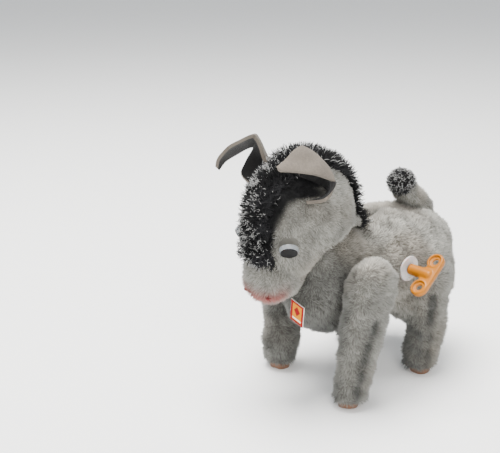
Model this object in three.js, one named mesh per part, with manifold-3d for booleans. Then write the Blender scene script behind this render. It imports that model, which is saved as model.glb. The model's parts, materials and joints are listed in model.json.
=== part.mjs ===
// Clockwork plush donkey: a stuffed donkey over a wind-up walking movement.
// Millimetres, +Z up. The donkey looks along -Y, its left side (the key side) is +X,
// and the origin is on the floor in the middle of its footprint.

import * as THREE from "three";
import { mergeVertices } from "three/addons/utils/BufferGeometryUtils.js";
import Module from "manifold-3d";

const library = await Module();
library.setup();

// ---------------------------------------------------------------- driving dimensions

const GAP = 0.3; // clearance between touching pieces
const COARSE = 1.2; // extra room where a coarse outline stands for a fine one
const SMALL_FACET = 0.12; // detail of the soft pieces that is not worth a facet
const PLUSH = 2.6; // thickness of the plush cover over the stuffing

const AXLE = { y: -18, z: 75 }; // front legs and neck swing on one axle
const KEY = { y: 16.5, z: 75.3 }; // winding arbor
const CRANK = { y: -16, z: 61 }; // crankshaft
const NECK_RADIUS = 30.5; // the head slides over the chest on this radius

const FRONT_HIP = { x: 36, y: AXLE.y, z: AXLE.z };
const FRONT_FOOT = { x: 31.8, y: -27.5 };
const HIND_HIP = { x: 31, y: 41, z: 62 };
const HIND_FOOT = { x: 30, y: 37.6 };
const HOOF_HEIGHT = 4.8;
const HOOF_RADIUS = 6.2;
const HOOF_TAPER = 0.6;
const HIP_CAP = 0.86; // a hip's rounded top, as a share of its depth
const FRONT_SLEEVE = { hip: [12.5, 17.5], ankle: [10, 10.5], length: 74 };
const HIND_SLEEVE = { hip: [12, 15.5], ankle: [10, 10.5], length: 61 };
const CORE_THICKNESS = 2.4;
const FRONT_CORE = { width: 8.4, length: 64, inset: 5.5 };
const HIND_CORE = { width: 9, length: 51, inset: 3 };
const CORE_SLOT = { y: 3.7, top: -9, bottom: -18.5, radius: 2, boss: 4.4 }; // the crank pin's slot
const REST_SWING = THREE.MathUtils.degToRad(1.2); // the left front foot stands a little ahead

const SWING_LIMIT = THREE.MathUtils.degToRad(13.5);
const NOD_LIMIT = THREE.MathUtils.degToRad(3);

const SHAFT_RADIUS = 1;
const AXLE_RADIUS = 1.25;
const ARBOR_RADIUS = 1.5;
const RUNNING = 0.05; // radial play of a shaft in its hole

const PLATE = { x: 11, thickness: 1 };
const CRANK_THROW = 3;
const CRANK_ARM_X = 14;
const CRANK_PIN_RADIUS = 1;
const CRANK_PIN_END = 27;
const CORE_FACE = 28.4; // where the front legs' cores begin
const PIN_ROOM_RADIUS = 8.2;
const AXLE_END = 33;
const HIND_BAR_RADIUS = 2;
const KEY_WAY_RADIUS = 3;
const KEY_SHAFT = { from: 35.1, to: 51.5, radius: 3.3, socket: 9 };
const WASHER = { from: 33.5, thickness: 1.2, radius: 7.6, bore: 2 };
const BOW = {
  tilt: THREE.MathUtils.degToRad(42), x: 48.1, thickness: 3.2,
  lobeOffset: 9.2, lobeRadius: 5.2, hole: 1.9, neckDepth: 2.6, neckHalfWidth: 2,
};
const RATCHET = { teeth: 12, root: 4.8, tip: 6 };
const TAIL_WIRE_RADIUS = 0.8;
const MANE = { halfWidth: 7.5, forelockHalfWidth: 15, pile: 4.2 };

// ---------------------------------------------------------------- materials

function material(color, roughness, metalness = 0) {
  return new THREE.MeshStandardMaterial({ color, roughness, metalness });
}

const FINISH = {
  plush: () => material(0xaaa9a3, 0.95),
  mane: () => material(0x3a3a3a, 0.95),
  felt: () => material(0x8c8579, 0.95),
  shell: () => material(0xd8d4c8, 0.6),
  hoof: () => material(0xb07850, 0.6),
  white: () => material(0xe4e4e2, 0.35),
  black: () => material(0x141414, 0.2),
  key: () => material(0xe8a43a, 0.4),
  washer: () => material(0xd9d4d2, 0.4),
  card: () => material(0xc8402c, 0.7),
  thread: () => material(0xa03028, 0.9),
  steel: () => material(0xa8abad, 0.35, 1),
  brass: () => material(0xc9a24c, 0.35, 1),
};

// ---------------------------------------------------------------- solids

function solid(geometry) {
  const bare = geometry.index ? geometry.toNonIndexed() : geometry.clone();
  bare.deleteAttribute("normal");
  bare.deleteAttribute("uv");
  const merged = mergeVertices(bare, 1e-4);
  return new library.Manifold(
    new library.Mesh({
      numProp: 3,
      vertProperties: new Float32Array(merged.attributes.position.array),
      triVerts: new Uint32Array(merged.index.array),
    }),
  );
}

function geometryOf(shape) {
  const mesh = shape.getMesh();
  const geometry = new THREE.BufferGeometry();
  geometry.setAttribute("position", new THREE.BufferAttribute(new Float32Array(mesh.vertProperties), 3));
  geometry.setIndex(new THREE.BufferAttribute(new Uint32Array(mesh.triVerts), 1));
  geometry.computeVertexNormals();
  return geometry;
}

// The largest of the bodies that a cut leaves.
function largest(shape) {
  return shape.decompose().reduce((best, body) => (body.volume() > best.volume() ? body : best));
}

function unite(shapes) {
  return shapes.reduce((sum, shape) => sum.add(shape));
}

function moved(shape, x, y, z) {
  return shape.translate([x, y, z]);
}

// Turns a shape about an X-wise axis through (y, z).
function turned(shape, axis, angle) {
  const degrees = THREE.MathUtils.radToDeg(angle);
  return shape.translate([0, -axis.y, -axis.z]).rotate([degrees, 0, 0]).translate([0, axis.y, axis.z]);
}

function ellipsoid(centre, radii, around = 18, up = 10) {
  const geometry = new THREE.SphereGeometry(1, around, up);
  geometry.rotateX(Math.PI / 2);
  geometry.scale(radii[0], radii[1], radii[2]);
  geometry.translate(centre[0], centre[1], centre[2]);
  return solid(geometry);
}

function block(low, high) {
  const size = high.map((value, i) => value - low[i]);
  const geometry = new THREE.BoxGeometry(...size);
  geometry.translate(...low.map((value, i) => value + size[i] / 2));
  return solid(geometry);
}

// A round bar along X between two stations, centred on (y, z).
function barX(axis, x0, x1, radius, sides = 16) {
  const geometry = new THREE.CylinderGeometry(radius, radius, x1 - x0, sides);
  geometry.rotateZ(-Math.PI / 2);
  geometry.translate((x0 + x1) / 2, axis.y, axis.z);
  return solid(geometry);
}

// A round bar between any two points.
function barBetween(from, to, radius, sides = 12) {
  const a = new THREE.Vector3(...from);
  const b = new THREE.Vector3(...to);
  const geometry = new THREE.CylinderGeometry(radius, radius, a.distanceTo(b), sides);
  const along = b.clone().sub(a).normalize();
  geometry.applyQuaternion(new THREE.Quaternion().setFromUnitVectors(new THREE.Vector3(0, 1, 0), along));
  geometry.translate(...a.add(b).multiplyScalar(0.5));
  return solid(geometry);
}

// An outline drawn in (y, z) and given thickness along X.
const Y_Z_OUT_X = new THREE.Matrix4().makeBasis(
  new THREE.Vector3(0, 1, 0),
  new THREE.Vector3(0, 0, 1),
  new THREE.Vector3(1, 0, 0),
);

function plateX(shape, x0, x1, curveSegments = 8) {
  const geometry = new THREE.ExtrudeGeometry(shape, { depth: x1 - x0, bevelEnabled: false, curveSegments });
  geometry.translate(0, 0, x0);
  geometry.applyMatrix4(Y_Z_OUT_X);
  return solid(geometry);
}

function polygon(points) {
  return new THREE.Shape(points.map(([u, v]) => new THREE.Vector2(u, v)));
}

// A straight bar with round ends between two (y, z) points, as an outline.
function linkShape(a, b, radius, arcSteps = 6) {
  const angle = Math.atan2(b.z - a.z, b.y - a.y);
  const points = [];
  for (const [end, turn] of [[b, -Math.PI / 2], [a, Math.PI / 2]]) {
    for (let i = 0; i <= arcSteps; i += 1) {
      const t = angle + turn + (Math.PI * i) / arcSteps;
      points.push([end.y + radius * Math.cos(t), end.z + radius * Math.sin(t)]);
    }
  }
  return polygon(points);
}

const toy = new THREE.Group();

function piece(name, shape, finish) {
  const mesh = new THREE.Mesh(shape.isBufferGeometry ? shape : geometryOf(shape), finish);
  mesh.name = name;
  toy.add(mesh);
  return mesh;
}

// ---------------------------------------------------------------- soft outlines

const BARREL = { at: [0, 33, 69.5], radii: [36, 49.5, 34] };
const CHEST = { at: [0, -16, 66], radii: [24, 33, 31.5] };
const HAUNCH_LEFT = { at: [20, 41, 61], radii: [19, 29, 31] };
const HAUNCH_RIGHT = { at: [-20, 41, 61], radii: [19, 29, 31] };
const TORSO_PARTS = [BARREL, CHEST, HAUNCH_LEFT, HAUNCH_RIGHT];

const SKULL = { at: [0, -41, 113], radii: [27, 36, 33.5] };
const FACE = { at: [0, -53, 98], radii: [23, 23.5, 21] };
const MUZZLE = { at: [0, -61, 81], radii: [17, 18, 16.5] };
const NECK = { at: [0, -24, 96], radii: [25, 27, 20] };
const HEAD_PARTS = [SKULL, FACE, MUZZLE, NECK];

function rounded(parts, growth, around = 18, up = 10) {
  return unite(parts.map((part) => ellipsoid(part.at, part.radii.map((r) => r + growth), around, up)));
}

// The room that the head sweeps over the chest as it nods.
function headSweep(depth) {
  const head = rounded([NECK, SKULL, MUZZLE], GAP + COARSE + depth, 10, 6);
  const swept = [-NOD_LIMIT, 0, NOD_LIMIT].map((angle) => turned(head, AXLE, angle));
  return unite(swept).subtract(barX(AXLE, -60, 60, NECK_RADIUS - depth, 28));
}

// ---------------------------------------------------------------- legs

// A stuffed leg in its own frame: the hip at the origin, the leg hanging along -Z.
function legSleeve({ hip, ankle, length }, growth = 0, sides = 14) {
  const shank = new THREE.CylinderGeometry(1, 1, length, sides, 1);
  shank.rotateX(Math.PI / 2);
  shank.translate(0, 0, -length / 2);
  const place = shank.attributes.position;
  for (let i = 0; i < place.count; i += 1) {
    const share = -place.getZ(i) / length;
    place.setX(i, place.getX(i) * (growth + THREE.MathUtils.lerp(hip[0], ankle[0], share)));
    place.setY(i, place.getY(i) * (growth + THREE.MathUtils.lerp(hip[1], ankle[1], share)));
  }
  const cap = [hip[0], hip[1], hip[1] * HIP_CAP].map((r) => r + growth);
  return solid(shank).add(ellipsoid([0, 0, 0], cap, sides, Math.ceil(sides / 2)));
}

// Leans a leg so that its foot comes over the foot's place, and sets it at its hip.
function leaned(shape, hip, foot, side, swing = 0) {
  const degrees = THREE.MathUtils.radToDeg;
  const lean = Math.atan2(foot.y - hip.y, hip.z);
  const inward = Math.atan2(hip.x - foot.x, hip.z);
  return shape
    .rotate([degrees(lean + swing), 0, 0])
    .rotate([0, degrees(inward) * side, 0])
    .translate([hip.x * side, hip.y, hip.z]);
}

// The stiff core of a leg: a flat bar with round ends, near the sleeve's inner side.
function legCore(width, length, thickness, x) {
  const outline = linkShape({ y: 0, z: -length }, { y: 0, z: 0 }, width / 2);
  return moved(plateX(outline, -thickness / 2, thickness / 2), x, 0, 0);
}

function aboveHoof(shape) {
  return shape.intersect(block([-80, -110, HOOF_HEIGHT + GAP], [80, 110, 200]));
}

function hoof(x, y) {
  const geometry = new THREE.CylinderGeometry(HOOF_RADIUS, HOOF_RADIUS - HOOF_TAPER, HOOF_HEIGHT, 20);
  geometry.rotateX(Math.PI / 2);
  geometry.translate(x, y, HOOF_HEIGHT / 2);
  return solid(geometry);
}

function frontLegSweep(depth) {
  const shapes = [];
  for (const side of [1, -1]) {
    for (const swing of [-SWING_LIMIT, 0, SWING_LIMIT]) {
      const room = legSleeve(FRONT_SLEEVE, GAP + COARSE + depth, 8);
      shapes.push(leaned(room, FRONT_HIP, FRONT_FOOT, side, swing));
    }
  }
  return unite(shapes);
}

// The front core with the boss that holds the crank pin's slot.
function frontCore(length, growth, x) {
  const thickness = CORE_THICKNESS + 2 * growth;
  return legCore(FRONT_CORE.width + 2 * growth, length, thickness, x)
    .add(slotPlate(CORE_SLOT.boss + growth, thickness, x));
}

function slotPlate(radius, thickness, x) {
  const outline = linkShape(
    { y: CORE_SLOT.y, z: CORE_SLOT.bottom }, { y: CORE_SLOT.y, z: CORE_SLOT.top }, radius);
  return moved(plateX(outline, -thickness / 2, thickness / 2), x, 0, 0);
}

function frontLeg(side, name, swing) {
  const set = (shape) => leaned(shape, FRONT_HIP, FRONT_FOOT, side, swing);
  const coreX = -FRONT_CORE.inset * side;
  const core = set(frontCore(FRONT_CORE.length, 0, coreX));
  const slot = set(slotPlate(CORE_SLOT.radius, 2 * CORE_THICKNESS, coreX));
  const bore = barX(AXLE, -40, 40, AXLE_RADIUS + RUNNING);
  piece(`front_leg_${name}_core`, aboveHoof(core.subtract(slot).subtract(bore)), FINISH.steel());

  const pocket = set(frontCore(80, GAP, coreX));
  const axleRoom = barX(AXLE, -AXLE_END - GAP, AXLE_END + GAP, AXLE_RADIUS + 1);
  const pinRoom = barX(CRANK, -CORE_FACE, CORE_FACE, PIN_ROOM_RADIUS);
  const sleeve = set(legSleeve(FRONT_SLEEVE)).subtract(pocket).subtract(axleRoom).subtract(pinRoom);
  piece(`front_leg_${name}_plush`, aboveHoof(sleeve), FINISH.plush());
  piece(`front_hoof_${name}`, hoof(FRONT_FOOT.x * side, FRONT_FOOT.y + swing * AXLE.z), FINISH.hoof());
}

function hindCore(side, growth) {
  const blank = legCore(
    HIND_CORE.width + 2 * growth, HIND_CORE.length + 40 * growth,
    CORE_THICKNESS + 2 * growth, -HIND_CORE.inset * side,
  );
  return leaned(blank, HIND_HIP, HIND_FOOT, side);
}

function hindLeg(side, name) {
  const bore = barX(HIND_HIP, -45, 45, HIND_BAR_RADIUS + GAP);
  piece(`hind_leg_${name}_core`, aboveHoof(hindCore(side, 0)).subtract(bore), FINISH.steel());
  const sleeve = leaned(legSleeve(HIND_SLEEVE), HIND_HIP, HIND_FOOT, side)
    .subtract(rounded(TORSO_PARTS, GAP))
    .subtract(hindCore(side, GAP));
  piece(`hind_leg_${name}_plush`, aboveHoof(sleeve), FINISH.plush());
  piece(`hind_hoof_${name}`, hoof(HIND_FOOT.x * side, HIND_FOOT.y), FINISH.hoof());
}

// ---------------------------------------------------------------- torso

// The torso at a depth under its surface, with the places of the head and the front legs left free.
function torsoLayer(depth, around, up) {
  return rounded(TORSO_PARTS, -depth, around, up).subtract(headSweep(depth)).subtract(frontLegSweep(depth));
}

// What comes through the torso's cover: key, front axle, crank pins, neck lever, hind legs, tail wire.
function torsoWays() {
  return unite([
    barX(KEY, 0, 60, KEY_WAY_RADIUS),
    barX(KEY, WASHER.from - GAP, 60, WASHER.radius + GAP),
    barX(AXLE, -60, 60, AXLE_RADIUS + 1),
    barX(CRANK, -60, 60, CRANK_THROW + CRANK_PIN_RADIUS + 0.8),
    block([-4, -46, 84], [4, -12, 112]),
    hindCore(1, GAP),
    hindCore(-1, GAP),
    barBetween([0, 66, 82], [0, 65.5, 104], 2 * TAIL_WIRE_RADIUS, 8),
  ]);
}

function torso() {
  const ways = torsoWays();
  const outer = torsoLayer(0, 18, 10);
  const inner = torsoLayer(PLUSH, 12, 7);
  const motorRoom = unite([
    block([-13.5, -29.5, 43], [13.5, 47, 93]),
    barX(CRANK, -17.5, 17.5, 6.5),
    barX(KEY, 2, 5.6, 19.8, 28),
    barX(HIND_HIP, -33, 33, HIND_BAR_RADIUS + GAP),
  ]);
  const cover = outer.subtract(inner).subtract(motorRoom).subtract(ways);
  piece("torso_plush", largest(cover).simplify(SMALL_FACET), FINISH.plush());
  const filling = torsoLayer(PLUSH + GAP, 12, 7).subtract(motorRoom).subtract(ways);
  piece("torso_stuffing", largest(filling).simplify(SMALL_FACET), FINISH.shell());
}

// ---------------------------------------------------------------- head

const EYE_AXIS = new THREE.Vector3(0.571, -0.48, -0.667).normalize();
const EYE_FACE = new THREE.Vector3(20.5, -67.5, 100.2);
const EYE = { baseRadius: 6, faceRadius: 4.8, height: 3.6, pupilRadius: 4.5, pupilThickness: 0.6 };

// A point along the eye's axis, measured back from the pupil's face.
function eyePoint(back, side) {
  const point = EYE_FACE.clone().addScaledVector(EYE_AXIS, -back);
  return [point.x * side, point.y, point.z];
}

function eyeFrustum(side) {
  const from = new THREE.Vector3(...eyePoint(EYE.pupilThickness + GAP + EYE.height, side));
  const to = new THREE.Vector3(...eyePoint(EYE.pupilThickness + GAP, side));
  const geometry = new THREE.CylinderGeometry(EYE.faceRadius, EYE.baseRadius, EYE.height, 20);
  const along = to.clone().sub(from).normalize();
  geometry.applyQuaternion(new THREE.Quaternion().setFromUnitVectors(new THREE.Vector3(0, 1, 0), along));
  geometry.translate(...from.add(to).multiplyScalar(0.5));
  return solid(geometry);
}

function eye(side, name) {
  piece(`eye_${name}`, eyeFrustum(side), FINISH.white());
  const pupil = barBetween(eyePoint(EYE.pupilThickness, side), eyePoint(0, side), EYE.pupilRadius, 20);
  piece(`pupil_${name}`, pupil, FINISH.black());
}

function eyeRoom(side) {
  const deep = EYE.pupilThickness + 2 * GAP + EYE.height;
  return barBetween(eyePoint(deep, side), eyePoint(-12, side), EYE.baseRadius + GAP, 20);
}

const NOSTRIL = [9.5, -71.2, 72];
const KNOT_RADII = [1.8, 1.8, 1.4];

const HEAD_CORE = { at: [0, -42, 112], radii: [15, 20, 18] };
const LEVER_TOP = { y: -38, z: 108 };

function head() {
  const chestRoom = barX(AXLE, -60, 60, NECK_RADIUS + 2 * GAP, 28);
  const outline = rounded(HEAD_PARTS, 0, 20, 12).subtract(chestRoom);
  const leverRoom = plateX(linkShape(LEVER_TOP, { y: -28, z: 92 }, 4.4), -1.9, 1.9)
    .add(block([-3.5, -45, 90], [3.5, -20, 106]));
  const coreRoom = ellipsoid(HEAD_CORE.at, HEAD_CORE.radii.map((r) => r + GAP), 16, 10);
  const knot = (side, radii) => ellipsoid([NOSTRIL[0] * side, NOSTRIL[1], NOSTRIL[2]], radii, 10, 6);
  const plush = outline
    .subtract(coreRoom)
    .subtract(leverRoom)
    .subtract(eyeRoom(1))
    .subtract(eyeRoom(-1))
    .subtract(knot(1, KNOT_RADII.map((r) => r + GAP)))
    .subtract(knot(-1, KNOT_RADII.map((r) => r + GAP)));
  piece("head_plush", plush.simplify(SMALL_FACET), FINISH.plush());
  const core = ellipsoid(HEAD_CORE.at, HEAD_CORE.radii, 16, 10).subtract(leverRoom);
  piece("head_core", core, FINISH.shell());
  for (const [side, name] of SIDES) {
    eye(side, name);
    piece(`nostril_stitch_${name}`, knot(side, KNOT_RADII), FINISH.thread());
  }
}

// The curly strip from the forehead over the crown and down the neck.
function mane() {
  const band = block([-MANE.halfWidth, -80, 128], [MANE.halfWidth, 20, 160])
    .add(block([-MANE.halfWidth, -36, 102.5], [MANE.halfWidth, 20, 140]))
    .add(block([-MANE.forelockHalfWidth, -95, 93], [MANE.forelockHalfWidth, -56, 142]));
  const strip = rounded(HEAD_PARTS, MANE.pile, 20, 12)
    .intersect(band)
    .subtract(rounded(HEAD_PARTS, GAP, 20, 12))
    .subtract(eyeRoom(1))
    .subtract(eyeRoom(-1));
  piece("mane", strip.simplify(SMALL_FACET), FINISH.mane());
}

// ---------------------------------------------------------------- ears

// Each ear is a leaf of felt drawn by rows from its base to its tip: inner edge, middle, outer edge.
// The third row is the fold over which the tip hangs down.
const EAR_THICKNESS = 2.2;
const EAR_FOLD = 2;
const EAR_LEFT = [
  [[13, -54, 139.5], [23, -42, 131], [22.5, -57.2, 127.3]],
  [[13.2, -54.5, 148], [26, -43.5, 139.5], [31, -52.2, 130.4]],
  [[14, -53.1, 155.1], [23.5, -47, 148], [31.6, -44.8, 137.6]],
  [[14.6, -61, 153.6], [21.5, -58, 149.6], [28, -53.5, 142.2]],
  [[17, -73.5, 147.4], [18, -73.4, 147.2], [19, -73.2, 146.8]],
];
const EAR_RIGHT = [
  [[-13, -54, 139.5], [-22, -43, 132], [-25, -54, 126]],
  [[-15, -56.5, 148], [-27, -45, 141], [-34, -56, 132.5]],
  [[-19.5, -59, 156], [-27, -51, 153.5], [-35, -46.5, 145.5]],
  [[-33, -62, 150], [-38.5, -57, 147], [-43.5, -51, 141.5]],
  [[-50.7, -61.2, 132.8], [-51.3, -60.3, 132], [-51.6, -59.2, 131.2]],
];

// Felt of even thickness over rows of three points, each row rounded through its middle.
function felt(rows, thickness) {
  const across = 4;
  const grid = rows.map((row) => {
    const [a, b, c] = row.map((point) => new THREE.Vector3(...point));
    const bend = b.clone().multiplyScalar(2).sub(a.clone().add(c).multiplyScalar(0.5));
    const curve = new THREE.QuadraticBezierCurve3(a, bend, c);
    return Array.from({ length: across + 1 }, (_, i) => curve.getPoint(i / across));
  });
  const layer = (offset) => grid.flatMap((row, r) => row.map((point, i) => {
    const ahead = grid[Math.min(r + 1, grid.length - 1)][i].clone().sub(grid[Math.max(r - 1, 0)][i]);
    const aside = row[Math.min(i + 1, across)].clone().sub(row[Math.max(i - 1, 0)]);
    return point.clone().addScaledVector(aside.cross(ahead).normalize(), offset);
  }));
  const points = [...layer(thickness / 2), ...layer(-thickness / 2)];
  const half = points.length / 2;
  const width = across + 1;
  const faces = [];
  const quad = (a, b, c, d) => faces.push(a, b, c, a, c, d);
  for (let r = 0; r < rows.length - 1; r += 1) {
    for (let i = 0; i < across; i += 1) {
      const a = r * width + i;
      quad(a, a + 1, a + 1 + width, a + width);
      quad(half + a, half + a + width, half + a + 1 + width, half + a + 1);
    }
  }
  const rim = [
    ...Array.from({ length: across }, (_, i) => i),
    ...Array.from({ length: rows.length - 1 }, (_, r) => r * width + across),
    ...Array.from({ length: across }, (_, i) => half - 1 - i),
    ...Array.from({ length: rows.length - 1 }, (_, r) => (rows.length - 1 - r) * width),
  ];
  rim.forEach((a, i) => {
    const b = rim[(i + 1) % rim.length];
    quad(b, a, half + a, half + b);
  });
  const geometry = new THREE.BufferGeometry().setFromPoints(points);
  geometry.setIndex(faces);
  const made = solid(geometry);
  return made.volume() < 0 ? solid(geometry.setIndex(faces.reverse())) : made;
}

function ears() {
  const skin = rounded(HEAD_PARTS, GAP, 20, 12);
  for (const [name, rows] of [["left", EAR_LEFT], ["right", EAR_RIGHT]]) {
    const standing = felt(rows.slice(0, EAR_FOLD + 1), EAR_THICKNESS);
    const hanging = felt(rows.slice(EAR_FOLD), EAR_THICKNESS);
    piece(`ear_${name}`, largest(standing.add(hanging).subtract(skin)), FINISH.felt());
  }
}

// ---------------------------------------------------------------- tail

const TAIL_BEND = [
  [0, 66, 87], [0, 65.5, 95], [0, 60.5, 100.5], [0, 54.5, 105], [0, 50, 110], [0, 47, 114.5],
];
const TAIL_RADIUS = 6.8;
const TUFT = { at: [0, 45.8, 116], radii: [8, 8, 7.8] };

function bentRing(points, outer, inner, steps) {
  const section = new THREE.Shape();
  section.absarc(0, 0, outer, 0, 2 * Math.PI);
  if (inner > 0) {
    const hole = new THREE.Path();
    hole.absarc(0, 0, inner, 0, 2 * Math.PI, true);
    section.holes.push(hole);
  }
  const path = new THREE.CatmullRomCurve3(points.map((point) => new THREE.Vector3(...point)));
  return solid(new THREE.ExtrudeGeometry(section, { steps, curveSegments: 5, extrudePath: path }));
}

function tail() {
  const tuft = ellipsoid(TUFT.at, TUFT.radii, 16, 10);
  const tuftRoom = ellipsoid(TUFT.at, TUFT.radii.map((r) => r + GAP), 16, 10);
  const body = bentRing(TAIL_BEND, TAIL_RADIUS, TAIL_WIRE_RADIUS + GAP, 8)
    .subtract(rounded(TORSO_PARTS, GAP))
    .subtract(tuftRoom);
  piece("tail_plush", body, FINISH.plush());
  piece("tail_tuft", tuft.subtract(bentRing(TAIL_BEND, TAIL_WIRE_RADIUS + GAP, 0, 8)), FINISH.mane());
  piece("tail_wire", bentRing(TAIL_BEND, TAIL_WIRE_RADIUS, 0, 8), FINISH.steel());
}

// ---------------------------------------------------------------- movement

// A toothed outline about the origin, with the middle of one tooth at an angle.
function gearShape(teeth, module, toothAngle, boreRadius) {
  const pitch = (module * teeth) / 2;
  const tip = pitch + 0.85 * module;
  const root = pitch - 1.15 * module;
  const step = (2 * Math.PI) / teeth;
  const stations = [[-0.3, root], [-0.13, tip], [0.13, tip], [0.3, root]];
  const points = [];
  for (let tooth = 0; tooth < teeth; tooth += 1) {
    for (const [share, radius] of stations) {
      const angle = toothAngle + (tooth + share) * step;
      points.push([radius * Math.cos(angle), radius * Math.sin(angle)]);
    }
  }
  const shape = polygon(points);
  if (boreRadius > 0) {
    const bore = new THREE.Path();
    bore.absarc(0, 0, boreRadius, 0, 2 * Math.PI, true);
    shape.holes.push(bore);
  }
  return shape;
}

function gear(axis, teeth, module, toothAngle, x0, x1, boreRadius) {
  return moved(plateX(gearShape(teeth, module, toothAngle, boreRadius), x0, x1, 6), 0, axis.y, axis.z);
}

const angleFrom = (a, b) => Math.atan2(b.z - a.z, b.y - a.y);

// The tooth angle of a pinion whose gap takes the tooth that a wheel points at it.
const meshedAngle = (pinionAxis, wheelAxis, teeth) => angleFrom(pinionAxis, wheelAxis) + Math.PI / teeth;

// Where an arbor stands that is at given distances from two others.
function arborBetween(a, b, fromA, fromB) {
  const span = Math.hypot(b.y - a.y, b.z - a.z);
  const along = (fromA ** 2 - fromB ** 2 + span ** 2) / (2 * span);
  const aside = Math.sqrt(fromA ** 2 - along ** 2);
  const unit = { y: (b.y - a.y) / span, z: (b.z - a.z) / span };
  return { y: a.y + along * unit.y - aside * unit.z, z: a.z + along * unit.z + aside * unit.y };
}

const COARSE_MODULE = 1.1;
const FINE_MODULE = 0.8;
const TEETH = { great: 32, second: 8, secondWheel: 30, crank: 8, crankWheel: 20, governor: 8 };
const reach = (module, a, b) => (module * (a + b)) / 2;

const SECOND = arborBetween(
  KEY, CRANK,
  reach(COARSE_MODULE, TEETH.great, TEETH.second),
  reach(FINE_MODULE, TEETH.secondWheel, TEETH.crank),
);
const GOVERNOR_ANGLE = THREE.MathUtils.degToRad(-62);
const GOVERNOR = {
  y: CRANK.y + reach(FINE_MODULE, TEETH.crankWheel, TEETH.governor) * Math.cos(GOVERNOR_ANGLE),
  z: CRANK.z + reach(FINE_MODULE, TEETH.crankWheel, TEETH.governor) * Math.sin(GOVERNOR_ANGLE),
};
const FAN = { radius: 5.2, half: 0.5, hub: 2.2 };
const CLICK = {
  pivot: { y: KEY.y + 9.6, z: KEY.z }, tip: { y: KEY.y + 5.2, z: KEY.z + 6.4 }, radius: 1.1, pinRadius: 0.9,
};
const NOD_CAM = { throw: 1.4, radius: 3.6 };
const CRANK_ARM = { radius: 1.9, half: 0.6 };
const ARBOR_END = 1.6; // how far an arbor stands out of its plates
// Where the wheels stand between the plates, from and to along X.
const AT_X = {
  ratchet: [0.2, 1.4],
  click: [0.3, 1.3],
  clickPin: [1.2, 2.9],
  great: [3.2, 4.4],
  secondPinion: [2.2, 5.4],
  secondWheel: [-2.2, -1.2],
  crankPinion: [-3.2, -0.2],
  crankWheel: [5.6, 6.6],
  nodCam: [-7, -5.8],
  fanPinion: [5.2, 7.2],
  fan: [-9, -4.4],
  mainspring: [-9.6, -3],
};
const PILLARS = [{ y: -25, z: 50 }, { y: 7, z: 49 }, { y: -6, z: 85 }, { y: 38, z: 72 }];

function motorPlate(side, name) {
  const outline = polygon([
    [-28, 46], [10, 45], [24, 52], [45, 57], [45, 67], [41, 76],
    [30, 91], [0, 91.5], [-12, 88], [-23, 80], [-28, 62],
  ]);
  const inner = PLATE.x * side;
  const outerFace = (PLATE.x + PLATE.thickness) * side;
  let plate = plateX(outline, Math.min(inner, outerFace), Math.max(inner, outerFace));
  const holes = [
    [KEY, ARBOR_RADIUS + RUNNING], [AXLE, AXLE_RADIUS + RUNNING], [HIND_HIP, HIND_BAR_RADIUS + RUNNING],
    [SECOND, SHAFT_RADIUS + RUNNING], [CRANK, SHAFT_RADIUS + RUNNING], [GOVERNOR, SHAFT_RADIUS + RUNNING],
  ];
  for (const [axis, radius] of holes) {
    plate = plate.subtract(barX(axis, -20, 20, radius));
  }
  piece(`motor_plate_${name}`, plate, FINISH.steel());
}

function pillars() {
  PILLARS.forEach((pillar, i) => {
    piece(`plate_pillar_${i + 1}`, barX(pillar, -PLATE.x + GAP, PLATE.x - GAP, 1.8, 12), FINISH.steel());
  });
}

function winding() {
  const arborEnd = KEY_SHAFT.from + KEY_SHAFT.socket - 1;
  piece("winding_arbor", barX(KEY, -PLATE.x - ARBOR_END, arborEnd, ARBOR_RADIUS), FINISH.steel());
  piece("ratchet_wheel", moved(plateX(ratchetShape(), ...AT_X.ratchet), 0, KEY.y, KEY.z), FINISH.steel());
  const grip = keyBow()
    .add(barX(KEY, KEY_SHAFT.from, KEY_SHAFT.to, KEY_SHAFT.radius, 24))
    .subtract(barX(KEY, KEY_SHAFT.from - 1, KEY_SHAFT.from + KEY_SHAFT.socket, ARBOR_RADIUS + GAP));
  piece("winding_key", grip, FINISH.key());
  const washer = barX(KEY, WASHER.from, WASHER.from + WASHER.thickness, WASHER.radius, 28)
    .subtract(barX(KEY, WASHER.from - 1, WASHER.from + 3, WASHER.bore));
  piece("key_washer", washer, FINISH.washer());
}

function ratchetShape() {
  const step = (2 * Math.PI) / RATCHET.teeth;
  const points = [];
  for (let tooth = 0; tooth < RATCHET.teeth; tooth += 1) {
    points.push([RATCHET.root * Math.cos(tooth * step), RATCHET.root * Math.sin(tooth * step)]);
    const tip = (tooth + 0.9) * step;
    points.push([RATCHET.tip * Math.cos(tip), RATCHET.tip * Math.sin(tip)]);
  }
  const shape = polygon(points);
  const bore = new THREE.Path();
  bore.absarc(0, 0, ARBOR_RADIUS + GAP, 0, 2 * Math.PI, true);
  shape.holes.push(bore);
  return shape;
}

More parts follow.
